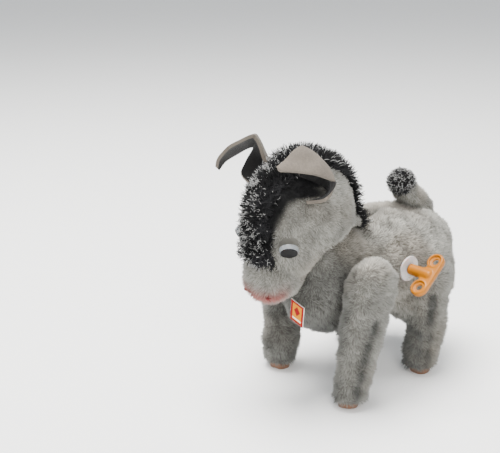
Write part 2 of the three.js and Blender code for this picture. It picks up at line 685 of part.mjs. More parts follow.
// The key's bow: two eyes joined by a web, flat in the plane of the shaft.
function keyBow() {
  const outline = new THREE.Shape();
  const edge = BOW.x + BOW.lobeRadius;
  const neck = BOW.x - BOW.lobeRadius;
  outline.moveTo(edge, -BOW.lobeOffset);
  outline.lineTo(edge, BOW.lobeOffset);
  outline.absarc(BOW.x, BOW.lobeOffset, BOW.lobeRadius, 0, Math.PI);
  outline.lineTo(neck - BOW.neckDepth, BOW.neckHalfWidth);
  outline.lineTo(neck - BOW.neckDepth, -BOW.neckHalfWidth);
  outline.lineTo(neck, -BOW.lobeOffset);
  outline.absarc(BOW.x, -BOW.lobeOffset, BOW.lobeRadius, Math.PI, 2 * Math.PI);
  for (const place of [BOW.lobeOffset, -BOW.lobeOffset]) {
    const hole = new THREE.Path();
    hole.absarc(BOW.x, place, BOW.hole, 0, 2 * Math.PI, true);
    outline.holes.push(hole);
  }
  const geometry = new THREE.ExtrudeGeometry(outline, {
    depth: BOW.thickness, bevelEnabled: false, curveSegments: 7,
  });
  geometry.translate(0, 0, -BOW.thickness / 2);
  geometry.rotateX(BOW.tilt);
  geometry.translate(0, KEY.y, KEY.z);
  return solid(geometry);
}

function train() {
  const facing = angleFrom(KEY, SECOND);
  const great = gear(KEY, TEETH.great, COARSE_MODULE, facing, ...AT_X.great, ARBOR_RADIUS + RUNNING);
  piece("great_wheel", great, FINISH.brass());
  const click = plateX(linkShape(CLICK.tip, CLICK.pivot, CLICK.radius), ...AT_X.click)
    .add(barX(CLICK.pivot, ...AT_X.clickPin, CLICK.pinRadius, 10));
  piece("ratchet_click", click, FINISH.steel());

  const secondMesh = meshedAngle(SECOND, KEY, TEETH.second);
  const secondPinion = gear(SECOND, TEETH.second, COARSE_MODULE, secondMesh, ...AT_X.secondPinion, 0);
  piece("second_arbor", secondPinion.add(arbor(SECOND)), FINISH.steel());
  const toCrank = angleFrom(SECOND, CRANK);
  const wheelBore = SHAFT_RADIUS + GAP;
  const secondWheel = gear(SECOND, TEETH.secondWheel, FINE_MODULE, toCrank, ...AT_X.secondWheel, wheelBore);
  piece("second_wheel", secondWheel, FINISH.brass());

  const crankMesh = meshedAngle(CRANK, SECOND, TEETH.crank);
  const crankPinion = gear(CRANK, TEETH.crank, FINE_MODULE, crankMesh, ...AT_X.crankPinion, 0);
  const nodCam = barX({ y: CRANK.y, z: CRANK.z + NOD_CAM.throw }, ...AT_X.nodCam, NOD_CAM.radius);
  const shaft = crankPinion.add(nodCam).add(barX(CRANK, -CRANK_ARM_X, CRANK_ARM_X, SHAFT_RADIUS));
  piece("crankshaft", shaft, FINISH.steel());
  const toGovernor = angleFrom(CRANK, GOVERNOR);
  const crankWheel = gear(CRANK, TEETH.crankWheel, FINE_MODULE, toGovernor, ...AT_X.crankWheel, wheelBore);
  piece("crank_wheel", crankWheel, FINISH.brass());

  const fanMesh = meshedAngle(GOVERNOR, CRANK, TEETH.governor);
  const fanPinion = gear(GOVERNOR, TEETH.governor, FINE_MODULE, fanMesh, ...AT_X.fanPinion, 0);
  piece("governor_arbor", fanPinion.add(arbor(GOVERNOR)), FINISH.steel());
  const [fanFrom, fanTo] = AT_X.fan;
  const blade = block(
    [fanFrom, GOVERNOR.y - FAN.radius, GOVERNOR.z - FAN.half],
    [fanTo, GOVERNOR.y + FAN.radius, GOVERNOR.z + FAN.half],
  )
    .add(barX(GOVERNOR, fanFrom, fanTo, FAN.hub))
    .subtract(barX(GOVERNOR, fanFrom - 1, fanTo + 1, wheelBore));
  piece("governor_fan", blade, FINISH.brass());
}

// An arbor that runs in both plates.
function arbor(axis) {
  return barX(axis, -PLATE.x - ARBOR_END, PLATE.x + ARBOR_END, SHAFT_RADIUS);
}

function cranks() {
  for (const [side, name] of SIDES) {
    const pin = { y: CRANK.y, z: CRANK.z + CRANK_THROW * side };
    const arm = plateX(linkShape(pin, CRANK, CRANK_ARM.radius), -CRANK_ARM.half, CRANK_ARM.half)
      .subtract(barX(CRANK, -2, 2, SHAFT_RADIUS - GAP));
    const pinEnd = (CRANK_PIN_END - CRANK_ARM_X) * side;
    const pinBar = barX(pin, Math.min(0, pinEnd), Math.max(0, pinEnd), CRANK_PIN_RADIUS);
    const stand = (CRANK_ARM_X + CRANK_ARM.half + GAP) * side;
    piece(`crank_${name}`, moved(arm.add(pinBar), stand, 0, 0), FINISH.steel());
  }
}

// The mainspring's ribbon winds out from the arbor and leaves straight for its pillar.
function mainspring() {
  const turns = 5;
  const stepsPerTurn = 14;
  const inner = 3.3;
  const outer = 13.8;
  const half = 0.25;
  const hookPillar = PILLARS[3];
  const span = Math.hypot(hookPillar.y - KEY.y, hookPillar.z - KEY.z);
  const leaving = angleFrom(KEY, hookPillar) - Math.acos(outer / span);
  const straight = Math.sqrt(span ** 2 - outer ** 2) - 2.4;
  const steps = turns * stepsPerTurn;
  const ribbon = (offset) => {
    const points = [];
    for (let i = 0; i <= steps; i += 1) {
      const angle = leaving + (2 * Math.PI * i) / stepsPerTurn;
      const radius = inner + ((outer - inner) * i) / steps + offset;
      points.push([KEY.y + radius * Math.cos(angle), KEY.z + radius * Math.sin(angle)]);
    }
    const end = points[points.length - 1];
    points.push([end[0] - straight * Math.sin(leaving), end[1] + straight * Math.cos(leaving)]);
    return points;
  };
  const outline = [...ribbon(half), ...ribbon(-half).reverse()];
  piece("mainspring", plateX(polygon(outline), ...AT_X.mainspring), FINISH.steel());
}

function axleAndLever() {
  piece("front_axle", barX(AXLE, -AXLE_END, AXLE_END, AXLE_RADIUS), FINISH.steel());
  piece("hind_bar", barX(HIND_HIP, -32, 32, HIND_BAR_RADIUS), FINISH.steel());
  const lever = plateX(linkShape(LEVER_TOP, AXLE, 3.6), -1.4, 1.4)
    .add(barX(AXLE, -7, 1.4, 3.2))
    .add(block([-7, AXLE.y - 3, AXLE.z - 8], [-5.8, AXLE.y + 3, AXLE.z]))
    .subtract(barX(AXLE, -10, 10, AXLE_RADIUS + RUNNING));
  piece("neck_lever", lever, FINISH.steel());
}

// ---------------------------------------------------------------- chest tag

const TAG = { at: new THREE.Vector3(9.5, -50.4, 57.2), width: 10.6, height: 16, thickness: 0.5 };

// The tag's own axes: x across, y up and z out of its face.
function tagMatrix() {
  const across = new THREE.Vector3(10.1, 0.65, -3.07).normalize();
  const out = new THREE.Vector3(-0.01, -0.973, -0.23).normalize();
  const up = out.clone().cross(across).normalize();
  return new THREE.Matrix4().makeBasis(across, up, across.clone().cross(up)).setPosition(TAG.at);
}

function chestTag() {
  const card = new THREE.BoxGeometry(TAG.width, TAG.height, TAG.thickness);
  card.applyMatrix4(tagMatrix());
  piece("chest_tag", solid(card), FINISH.card());
}

// ---------------------------------------------------------------- assembly

const SIDES = [[1, "left"], [-1, "right"]];

torso();
head();
mane();
ears();
tail();
for (const [side, name] of SIDES) {
  frontLeg(side, name, -REST_SWING * side);
  hindLeg(side, name);
  motorPlate(side, name);
}
pillars();
winding();
mainspring();
train();
cranks();
axleAndLever();
chestTag();

export default toy;
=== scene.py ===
import json
import math

import bpy
import numpy as np
from bpy.props import FloatProperty, FloatVectorProperty, IntProperty, PointerProperty
from mathutils import Matrix, Vector


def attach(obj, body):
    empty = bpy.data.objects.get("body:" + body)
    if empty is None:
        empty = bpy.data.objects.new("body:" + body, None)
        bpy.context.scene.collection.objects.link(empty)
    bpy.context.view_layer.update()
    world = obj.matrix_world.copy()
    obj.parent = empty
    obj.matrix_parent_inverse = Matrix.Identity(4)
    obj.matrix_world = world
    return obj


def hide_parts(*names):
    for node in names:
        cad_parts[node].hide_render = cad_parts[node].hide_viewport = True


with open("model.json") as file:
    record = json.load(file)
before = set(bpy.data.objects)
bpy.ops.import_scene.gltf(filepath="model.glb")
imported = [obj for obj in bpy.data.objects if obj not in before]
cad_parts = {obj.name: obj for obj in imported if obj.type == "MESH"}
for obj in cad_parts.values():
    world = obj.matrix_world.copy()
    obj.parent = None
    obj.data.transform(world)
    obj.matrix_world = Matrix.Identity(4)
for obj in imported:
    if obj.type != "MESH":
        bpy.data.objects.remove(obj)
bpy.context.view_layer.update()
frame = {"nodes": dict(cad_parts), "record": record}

bl_info = {
    "name": "Clockwork plush donkey",
    "version": (1, 0, 0),
    "blender": (4, 5, 0),
    "location": "3D View > Sidebar > Donkey",
    "description": "Plush, ears, eyes, key and stage of a clockwork plush donkey",
    "category": "Object",
}

MM = 0.001
SIDES = (("left", 1), ("right", -1))

# ---------------------------------------------------------------- places, in millimetres

AXLE = (0, -18, 75)
KEY = (0, 16.5, 75.3)
NECK_RADIUS = 30.6
SKIN_DEPTH = 1.3  # the backing cloth lies this far under the middle of the pile

BODY_BALLS = (
    ((0, 33, 69.5), (36, 49.5, 34)),
    ((0, -16, 66), (24, 31.5, 31.5)),
    ((0, -18, 78), (22, 26.5, 26)),
    ((20, 41, 61), (19, 29, 31)),
    ((-20, 41, 61), (19, 29, 31)),
    ((0, 54, 74), (27, 29, 26)),
)
HEAD_BALLS = (
    ((0, -41, 113), (27, 36, 33.5)),
    ((0, -53, 98), (23, 23.5, 21)),
    ((0, -61, 81), (17, 18, 16.5)),
    ((0, -24, 96), (25, 27, 20)),
)
FRONT_HIP = (36, -18, 75)
FRONT_FOOT = (31.8, -27.5)
FRONT_LEG = {"hip": (12.5, 17.5), "ankle": (10, 10.5), "length": 74}
HIND_HIP = (31, 41, 62)
HIND_FOOT = (30, 37.6)
HIND_LEG = {"hip": (12, 15.5), "ankle": (10, 10.5), "length": 61}
REST_SWING = math.radians(1.2)

EYE_AXIS = Vector((0.571, -0.48, -0.667)).normalized()
EYE_UP = (Vector((0, 0, 1)) - EYE_AXIS * EYE_AXIS.z).normalized()
EYE_FACE = Vector((20.5, -67.5, 100.2))
NOSTRIL = (9.5, -71.2, 72)
TAIL_BEND = ((0, 66, 87), (0, 65.5, 95), (0, 60.5, 100.5), (0, 54.5, 105), (0, 50, 110), (0, 47, 114.5))
TAIL_RADII = (9.0, 9.0, 8.8, 8.5, 8.2, 7.6)
TUFT = ((0, 45.8, 116), (7.4, 7.4, 7))
SHAVED_AT = 5.2  # the skins of the legs end this high, inside the soles
PILE_FROM = 5.4

CREST_FROM = -52  # the mane's longer curls start behind this y
CURL_RADIUS = 0.8
CURL_TURNS = 0.6
CURL_LEVELS = 5


# ---------------------------------------------------------------- settings

def colour(name, description, value):
    return FloatVectorProperty(
        name=name, description=description, default=value, size=3, min=0, max=1, subtype="COLOR")


def length(name, description, value):
    return FloatProperty(name=name, description=description, default=value, unit="LENGTH")


class DonkeySizes(bpy.types.PropertyGroup):
    pile_length: length("Pile length", "Length of the plush pile", 0.0029)
    pile_width: length("Pile width", "Half width of a lock of pile at its root", 0.00031)
    pile_density: FloatProperty(
        name="Pile density", description="Locks of pile on a square millimetre", default=2.7)
    curl_density: FloatProperty(
        name="Curl density", description="Curls of the mane on a square millimetre", default=1.9)
    felt_thickness: length("Felt thickness", "Thickness of the ears' felt", 0.0019)
    skin_voxel: length("Skin detail", "Mesh size of the backing cloth", 0.0015)
    seed: IntProperty(name="Seed", description="Starts every random draw", default=7)


class DonkeyColours(bpy.types.PropertyGroup):
    plush: colour("Plush", "Light warm grey of the plush", (0.44, 0.435, 0.395))
    plush_warm: colour("Warm plush", "Beige cast under the jaw and on the flank", (0.43, 0.395, 0.335))
    # Painted shade: this grey darkens the plush underneath, on the chest below the head, on the inner sides
    # of the legs and along the creases.
    plush_painted_shade: colour("Deep plush", "Grey of the inner and lower panels", (0.15, 0.155, 0.15))
    soot: colour("Soot", "Black of the shaded forehead and the mane's roots", (0.010, 0.010, 0.011))
    frost: colour("Frost", "Pale tips of the mane's curls", (0.50, 0.50, 0.49))
    blush: colour("Blush", "Pink of the nose", (0.50, 0.12, 0.10))
    felt: colour("Felt", "Outside of the ears", (0.135, 0.115, 0.094))
    felt_inside: colour("Felt inside", "Inside of the ears", (0.012, 0.011, 0.011))
    key: colour("Key", "Moulded winding key", (0.36, 0.118, 0.0))
    washer: colour("Washer", "Milky washer under the key", (0.46, 0.44, 0.43))
    hoof: colour("Hoof", "Tan soles", (0.24, 0.115, 0.06))
    eye: colour("Eye", "Moulded white of the eye", (0.20, 0.21, 0.218))
    pupil: colour("Pupil", "Black face of the eye", (0.006, 0.006, 0.007))
    tag_red: colour("Tag border", "Border of the chest tag", (0.24, 0.004, 0.004))
    tag_yellow: colour("Tag field", "Field of the chest tag", (0.56, 0.20, 0.005))


def sizes():
    return bpy.context.scene.donkey_sizes


def colours():
    return bpy.context.scene.donkey_colours


def rgb(value):
    return np.array(value[:3], dtype=np.float64)


# ---------------------------------------------------------------- working by hand

def pick(*objs):
    """Selects these objects only and makes the first one active."""
    bpy.ops.object.select_all(action="DESELECT")
    for obj in objs:
        obj.select_set(True)
    bpy.context.view_layer.objects.active = objs[0]
    return objs[0]


def pick_faces(obj, wanted):
    """Enters edit mode with only the faces that pass a test selected."""
    pick(obj)
    bpy.ops.object.mode_set(mode="EDIT")
    bpy.ops.mesh.select_all(action="DESELECT")
    bpy.ops.object.mode_set(mode="OBJECT")
    for polygon in obj.data.polygons:
        polygon.select = wanted(polygon)
    bpy.ops.object.mode_set(mode="EDIT")
    bpy.ops.mesh.select_mode(type="FACE")


def at(x, y, z):
    return Vector((x, y, z)) * MM


def settle(obj):
    """Puts an object's place and turn into its mesh."""
    pick(obj)
    bpy.ops.object.transform_apply(location=True, rotation=True, scale=True)
    return obj


def ball(centre, radii, segments=48, rings=28):
    bpy.ops.mesh.primitive_uv_sphere_add(
        segments=segments, ring_count=rings, radius=1, location=Vector(centre) * MM)
    obj = bpy.context.object
    obj.scale = Vector(radii) * MM
    return settle(obj)


def rod(start, end, radius, vertices=48):
    """A round bar between two points in millimetres."""
    a, b = Vector(start), Vector(end)
    bpy.ops.mesh.primitive_cylinder_add(
        vertices=vertices, radius=radius * MM, depth=(b - a).length * MM, location=(a + b) / 2 * MM)
    obj = bpy.context.object
    obj.rotation_euler = (b - a).to_track_quat("Z", "Y").to_euler()
    return settle(obj)


def block(low, high):
    low, high = Vector(low), Vector(high)
    bpy.ops.mesh.primitive_cube_add(size=1, location=(low + high) / 2 * MM)
    obj = bpy.context.object
    obj.scale = (high - low) * MM
    return settle(obj)


def joined(name, objs):
    obj = pick(*objs)
    if len(objs) > 1:
        bpy.ops.object.join()
    obj.name = name
    obj.data.name = name
    return obj


def apply(obj, kind, **settings):
    """Adds a modifier with these settings and applies it."""
    pick(obj)
    modifier = obj.modifiers.new(kind.title(), kind)
    for key, value in settings.items():
        setattr(modifier, key, value)
    bpy.ops.object.modifier_apply(modifier=modifier.name)
    return obj


def melted(obj, voxel, rounds, factor=0.5):
    """One closed skin over joined pieces, softened where they meet."""
    apply(obj, "REMESH", mode="VOXEL", voxel_size=voxel)
    if rounds:
        apply(obj, "SMOOTH", factor=factor, iterations=rounds)
    return obj


def cut(obj, tool):
    apply(obj, "BOOLEAN", operation="DIFFERENCE", object=tool, solver="EXACT")
    pick(tool)
    bpy.ops.object.delete()
    return obj


def rounded_edges(obj, width, segments=3, angle=30):
    return apply(obj, "BEVEL", width=width * MM, segments=segments, angle_limit=math.radians(angle))


def smooth(obj, angle=None):
    pick(obj)
    if angle is None:
        bpy.ops.object.shade_smooth()
    else:
        bpy.ops.object.shade_smooth_by_angle(angle=math.radians(angle))
    return obj


def dressed(obj, material, body, slot, *nodes):
    """Gives a finished piece its material, its body and the nodes that it stands for; the slot is not used.
    """
    if material is not None:
        obj.data.materials.clear()
        obj.data.materials.append(material)
    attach(obj, body)
    if nodes:
        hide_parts(*nodes)
    return obj


# ---------------------------------------------------------------- fields over space

def wobble(points, size, seed):
    """A smooth field between about -1 and 1, with blobs of this size in millimetres."""
    rng = np.random.default_rng(seed)
    total = np.zeros(len(points))
    for _ in range(6):
        direction = rng.normal(size=3)
        direction *= 2 * math.pi / (size * 1.6) / np.linalg.norm(direction)
        total += np.sin(points @ direction + rng.uniform(0, 2 * math.pi))
    return total / 2.4


def wobble3(points, size, seed):
    return np.stack([wobble(points, size, seed + i) for i in range(3)], axis=1)


def mirrored_x(points):
    return np.stack([np.abs(points[:, 0]), points[:, 1], points[:, 2]], axis=1)


def near_path(points, path, width):
    """1 on a path of points, falling to 0 over this width."""
    path = np.array(path, dtype=np.float64)
    best = np.full(len(points), 1e9)
    for a, b in zip(path[:-1], path[1:]):
        along = np.clip(((points - a) @ (b - a)) / ((b - a) @ (b - a)), 0, 1)
        best = np.minimum(best, np.linalg.norm(points - a - along[:, None] * (b - a), axis=1))
    return np.exp(-((best / width) ** 2))


def step(values, low, high):
    share = np.clip((values - low) / (high - low), 0, 1)
    return share * share * (3 - 2 * share)


def blended(a, b, share):
    return a + (b - a) * share[:, None]


# ---------------------------------------------------------------- skins

def mesh_arrays(obj):
    """Corner points and normals of a mesh, in millimetres."""
    mesh = obj.data
    points = np.empty(len(mesh.vertices) * 3, dtype=np.float32)
    normals = np.empty(len(mesh.vertices) * 3, dtype=np.float32)
    mesh.vertices.foreach_get("co", points)
    mesh.vertices.foreach_get("normal", normals)
    return points.reshape(-1, 3).astype(np.float64) / MM, normals.reshape(-1, 3).astype(np.float64)


def place_points(obj, points):
    obj.data.vertices.foreach_set("co", (points * MM).astype(np.float32).ravel())
    obj.data.update()


def dent(obj, path, width, depth):
    """Presses a valley into a skin along a path."""
    points, normals = mesh_arrays(obj)
    place_points(obj, points - normals * (near_path(points, path, width) * depth)[:, None])


def ruffle(obj, size, depth, seed):
    points, normals = mesh_arrays(obj)
    place_points(obj, points + normals * (wobble(points, size, seed) * depth)[:, None])


def dye_and_painted_shade(obj, tint):
    """Stores a colour on each point of a mesh: the cloth's own tones and, on the plush, painted shade."""
    points, normals = mesh_arrays(obj)
    values = np.ones((len(points), 4), dtype=np.float32)
    values[:, :3] = tint(points, normals)
    obj.data.attributes.new("dye_and_painted_shade", "FLOAT_COLOR", "POINT").data.foreach_set("color", values.ravel())
    tips = np.zeros(len(points), np.float32)
    obj.data.attributes.new("tip", "FLOAT", "POINT").data.foreach_set("value", tips)


def sleeve(hip, foot, leg, side, swing=0.0):
    """A stuffed leg between a hip and a foot: a rounded cap over a tapered shank."""
    parts = [ball((0, 0, 0), (leg["hip"][0], leg["hip"][1], leg["hip"][1] * 0.86))]
    bpy.ops.mesh.primitive_cylinder_add(
        vertices=48, radius=1 * MM, depth=leg["length"] * MM, location=(0, 0, -leg["length"] / 2 * MM))
    shank = settle(bpy.context.object)
    points, _ = mesh_arrays(shank)
    share = (-points[:, 2] / leg["length"])[:, None]
    points[:, :2] *= np.array(leg["hip"]) * (1 - share) + np.array(leg["ankle"]) * share
    place_points(shank, points)
    obj = joined("sleeve", parts + [shank])
    lean = math.atan2(foot[1] - hip[1], hip[2])
    inward = math.atan2(hip[0] - foot[0], hip[2])
    turn = Matrix.Rotation(inward * side, 4, "Y") @ Matrix.Rotation(lean + swing, 4, "X")
    obj.matrix_world = Matrix.Translation(at(hip[0] * side, hip[1], hip[2])) @ turn
    return settle(obj)


def thinned(leg):
    """The same leg, as far inside it as the backing cloth lies."""
    inner = dict(leg)
    for key in ("hip", "ankle"):
        inner[key] = tuple(radius - SKIN_DEPTH for radius in leg[key])
    return inner


def shaved(obj, height):
    """Cuts a skin off flat at a height, as a leg ends over its hoof."""
    pick(obj)
    bpy.ops.object.mode_set(mode="EDIT")
    bpy.ops.mesh.select_all(action="SELECT")
    bpy.ops.mesh.bisect(
        plane_co=(0, 0, height * MM), plane_no=(0, 0, 1), clear_inner=True, use_fill=True)
    bpy.ops.object.mode_set(mode="OBJECT")
    return obj


# ---------------------------------------------------------------- pile

def scattered(obj, per_mm2, seed):
    """Even random places on a skin, with its normals."""
    points, normals = mesh_arrays(obj)
    mesh = obj.data
    mesh.calc_loop_triangles()
    corners = np.empty(len(mesh.loop_triangles) * 3, dtype=np.int32)
    mesh.loop_triangles.foreach_get("vertices", corners)
    a, b, c = (points[corners[i::3]] for i in range(3))
    areas = np.linalg.norm(np.cross(b - a, c - a), axis=1) / 2
    rng = np.random.default_rng(seed)
    which = rng.choice(len(areas), int(areas.sum() * per_mm2), p=areas / areas.sum())
    u, v = rng.random(len(which)), rng.random(len(which))
    over = u + v > 1
    u[over], v[over] = 1 - u[over], 1 - v[over]
    w = 1 - u - v
    spots = a[which] * w[:, None] + b[which] * u[:, None] + c[which] * v[:, None]
    na, nb, nc = (normals[corners[i::3]][which] for i in range(3))
    facing = na * w[:, None] + nb * u[:, None] + nc * v[:, None]
    return spots, unit(facing), rng


def unit(vectors):
    return vectors / np.maximum(np.linalg.norm(vectors, axis=1), 1e-9)[:, None]


def crosswise(directions):
    helper = np.where(np.abs(directions[:, 2:3]) < 0.9, [[0.0, 0.0, 1.0]], [[1.0, 0.0, 0.0]])
    side = unit(np.cross(directions, helper))
    return side, np.cross(directions, side)


def strands(name, rings, colours_along, tips_along, normals, material):
    """Closed three-sided strands: rings of three points each, and a last ring drawn into one point."""
    count, levels = rings.shape[0], rings.shape[1]
    body = rings[:, :-1].reshape(count, (levels - 1) * 3, 3)
    apex = rings[:, -1].mean(axis=1, keepdims=True)
    points = np.concatenate([body, apex], axis=1)
    per = points.shape[1]
    faces = [(0, 2, 1)]
    for level in range(levels - 2):
        for i in range(3):
            j = (i + 1) % 3
            low, high = level * 3, level * 3 + 3
            faces += [(low + i, low + j, high + j), (low + i, high + j, high + i)]
    last = (levels - 2) * 3
    faces += [(last + i, last + (i + 1) % 3, per - 1) for i in range(3)]
    faces = (np.array(faces)[None] + (np.arange(count) * per)[:, None, None]).reshape(-1, 3)
    mesh = bpy.data.meshes.new(name)
    mesh.from_pydata((points * MM).reshape(-1, 3), [], faces)
    obj = bpy.data.objects.new(name, mesh)
    bpy.context.scene.collection.objects.link(obj)
    pick(obj)
    bpy.ops.object.shade_smooth()
    level_of = np.array([level for level in range(levels - 1) for _ in range(3)] + [levels - 1])
    values = np.ones((count, per, 4), dtype=np.float32)
    values[:, :, :3] = colours_along[:, None, :]
    mesh.attributes.new("dye_and_painted_shade", "FLOAT_COLOR", "POINT").data.foreach_set("color", values.ravel())
    tips = tips_along[:, level_of].astype(np.float32)
    mesh.attributes.new("tip", "FLOAT", "POINT").data.foreach_set("value", tips.ravel())
    if normals is not None:
        spread = np.repeat(normals[:, None, :], per, axis=1)
        outward = unit((points - body[:, :3].mean(axis=1, keepdims=True)).reshape(-1, 3))
        mix = unit(spread.reshape(-1, 3) * 0.8 + outward * 0.2)
        mesh.normals_split_custom_set_from_vertices(mix.tolist())
    obj.data.materials.append(material)
    return obj


def pile(name, skin, material, tint, comb, seed, keep=None, density=1.0, length=1.0):
    """Short plush pile over a skin: straight tapered locks that lean together in clumps."""
    spots, normals, rng = scattered(skin, sizes().pile_density * density, sizes().seed + seed)
    if keep is not None:
        chosen = keep(spots)
        spots, normals = spots[chosen], normals[chosen]
    count = len(spots)
    lean = wobble3(spots, 8, seed) * 0.19 + wobble3(spots, 2.6, seed + 9) * 0.19
    lean += rng.normal(scale=0.13, size=(count, 3)) + comb(spots)
    directions = unit(normals + lean)
    long = sizes().pile_length / MM * length
    tall = long * (1 + 0.16 * wobble(spots, 5, seed + 3) + rng.uniform(-0.22, 0.16, count))
    wide = sizes().pile_width / MM * rng.uniform(0.7, 1.2, count)
    roots = spots - normals * 0.35
    side, other = crosswise(directions)
    angles = rng.uniform(0, 2 * math.pi, count)
    ring = []
    for i in range(3):
        turn = angles + 2 * math.pi * i / 3
        ring.append(side * (np.cos(turn) * wide)[:, None] + other * (np.sin(turn) * wide)[:, None])
    ring = np.stack(ring, axis=1)
    foot = roots[:, None, :] + ring
    tip = np.repeat((roots + directions * tall[:, None])[:, None, :], 3, axis=1)
    shade = tint(spots, normals) * (1 + 0.07 * rng.normal(size=count))[:, None].clip(0.7, 1.3)
    tips = np.tile(np.array([0.0, 1.0]), (count, 1))
    return strands(name, np.stack([foot, tip], axis=1), shade.clip(0, 1), tips, normals, material)


def curls(name, skin, material, tint, seed, frost, keep, length, density=1.0):
    """Curled pile: each strand climbs from the skin in a loose spiral."""
    spots, normals, rng = scattered(skin, sizes().curl_density * density, sizes().seed + seed)
    chosen = keep(spots)
    spots, normals = spots[chosen], normals[chosen]
    count = len(spots)
    lean = wobble3(spots, 6, seed) * 0.35 + rng.normal(scale=0.22, size=(count, 3))
    directions = unit(normals + lean)
    side, other = crosswise(directions)
    start = rng.uniform(0, 2 * math.pi, count)
    hand = rng.choice([-1.0, 1.0], count)
    loop = CURL_RADIUS * rng.uniform(0.6, 1.3, count)
    tall = length * rng.uniform(0.6, 1.15, count)
    thick = rng.uniform(0.17, 0.30, count)
    rings = []
    for level in range(CURL_LEVELS):
        share = level / (CURL_LEVELS - 1)
        turn = start + hand * share * CURL_TURNS * 2 * math.pi
        across = side * ((np.cos(turn) - np.cos(start)) * loop)[:, None]
        across += other * ((np.sin(turn) - np.sin(start)) * loop)[:, None]
        centre = spots - normals * 0.4 + directions * (tall * share ** 0.8)[:, None] + across
        ring = []
        for i in range(3):
            around = 2 * math.pi * i / 3
            width = thick * (1 - 0.35 * share)
            edge = side * (np.cos(around) * width)[:, None] + other * (np.sin(around) * width)[:, None]
            ring.append(centre + edge)
        rings.append(np.stack(ring, axis=1))
    frosted = rng.random(count) < frost(spots)
    tips = np.tile(np.linspace(0, 1, CURL_LEVELS), (count, 1)) * np.where(frosted, 1.0, 0.1)[:, None]
    return strands(name, np.stack(rings, axis=1), tint(spots, normals), tips, None, material)


# ---------------------------------------------------------------- materials

def new_material(name, roughness, metallic=0.0, specular=0.5):
    material = bpy.data.materials.new(name)
    material.use_nodes = True
    shader = material.node_tree.nodes["Principled BSDF"]
    shader.inputs["Roughness"].default_value = roughness
    shader.inputs["Metallic"].default_value = metallic
    shader.inputs["Specular IOR Level"].default_value = specular
    return material, material.node_tree.nodes, material.node_tree.links, shader


def noise(nodes, links, scale, detail=3.0, roughness=0.55):
    """Noise on the piece's own Object coordinates; scale counts features on a metre."""
    coordinates = nodes.new("ShaderNodeTexCoord")
    texture = nodes.new("ShaderNodeTexNoise")
    texture.inputs["Scale"].default_value = scale
    texture.inputs["Detail"].default_value = detail
    texture.inputs["Roughness"].default_value = roughness
    links.new(coordinates.outputs["Object"], texture.inputs["Vector"])
    return texture.outputs["Fac"]


def ramp(nodes, links, source, stops):
    node = nodes.new("ShaderNodeValToRGB")
    links.new(source, node.inputs["Fac"])
    elements = node.color_ramp.elements
    while len(elements) < len(stops):
        elements.new(0.5)
    for element, (position, value) in zip(elements, stops):
        element.position = position
        element.color = (*value[:3], 1)
    return node.outputs["Color"]


def mixed(nodes, links, a, b, factor, kind="MIX"):
    node = nodes.new("ShaderNodeMix")
    node.data_type = "RGBA"
    node.blend_type = kind
    for socket, value in ((node.inputs[6], a), (node.inputs[7], b), (node.inputs[0], factor)):
        if isinstance(value, bpy.types.NodeSocket):
            links.new(value, socket)
        elif isinstance(value, (int, float)):
            socket.default_value = value
        else:
            socket.default_value = (*value[:3], 1)
    return node.outputs[2]


def bump(nodes, links, shader, height, strength, distance):
    node = nodes.new("ShaderNodeBump")
    node.inputs["Strength"].default_value = strength
    node.inputs["Distance"].default_value = distance
    links.new(height, node.inputs["Height"])
    links.new(node.outputs["Normal"], shader.inputs["Normal"])


def attribute(nodes, name, output):
    node = nodes.new("ShaderNodeAttribute")
    node.attribute_name = name
    return node.outputs[output]


def pile_material(name, root_shade):
    """Plush whose roots are darker than its tips, coloured by the colour stored on each point, which holds
    the plush's own tones and its painted shade.
    """
    material, nodes, links, shader = new_material(name, roughness=0.85, specular=0.2)
    shader.inputs["Sheen Weight"].default_value = 0.06
    shade = ramp(nodes, links, attribute(nodes, "tip", "Fac"), ((0.0, root_shade), (1.0, (1, 1, 1))))
    mottled = ramp(nodes, links, noise(nodes, links, 160, 4), ((0.3, (0.88, 0.88, 0.88)), (0.7, (1, 1, 1))))
    base = mixed(nodes, links, attribute(nodes, "dye_and_painted_shade", "Color"), shade, 1.0, "MULTIPLY")
    links.new(mixed(nodes, links, base, mottled, 1.0, "MULTIPLY"), shader.inputs["Base Color"])
    return material


def curl_material(name):
    material, nodes, links, shader = new_material(name, roughness=0.8, specular=0.2)
    tip = attribute(nodes, "tip", "Fac")
    frost = ramp(nodes, links, tip, ((0.35, (0, 0, 0)), (1.0, (1, 1, 1))))
    base = mixed(nodes, links, attribute(nodes, "dye_and_painted_shade", "Color"), colours().frost, frost)
    links.new(base, shader.inputs["Base Color"])
    return material


def felt_material(name, base, fleck, roughness=0.95):
    material, nodes, links, shader = new_material(name, roughness=roughness)
    shader.inputs["Sheen Weight"].default_value = 0.06
    pattern = ramp(nodes, links, noise(nodes, links, 900, 6, 0.7), ((0.3, fleck), (0.7, base)))
    broad = ramp(nodes, links, noise(nodes, links, 90, 2), ((0.3, (0.8, 0.8, 0.8)), (0.7, (1.12, 1.1, 1.08))))
    links.new(mixed(nodes, links, pattern, broad, 1.0, "MULTIPLY"), shader.inputs["Base Color"])
    bump(nodes, links, shader, noise(nodes, links, 1500, 5, 0.8), 0.6, 0.0006)
    return material


def plastic_material(name, base, roughness, speck=0.94, subsurface=0.0, specular=0.5):
    material, nodes, links, shader = new_material(name, roughness=roughness, specular=specular)
    dark = [channel * speck for channel in base]
    links.new(ramp(nodes, links, noise(nodes, links, 130, 3), ((0.35, dark), (0.65, base))),
              shader.inputs["Base Color"])
    if subsurface:
        shader.inputs["Subsurface Weight"].default_value = subsurface
        shader.inputs["Subsurface Scale"].default_value = 0.002
    bump(nodes, links, shader, noise(nodes, links, 700, 4), 0.08, 0.0003)
    return material


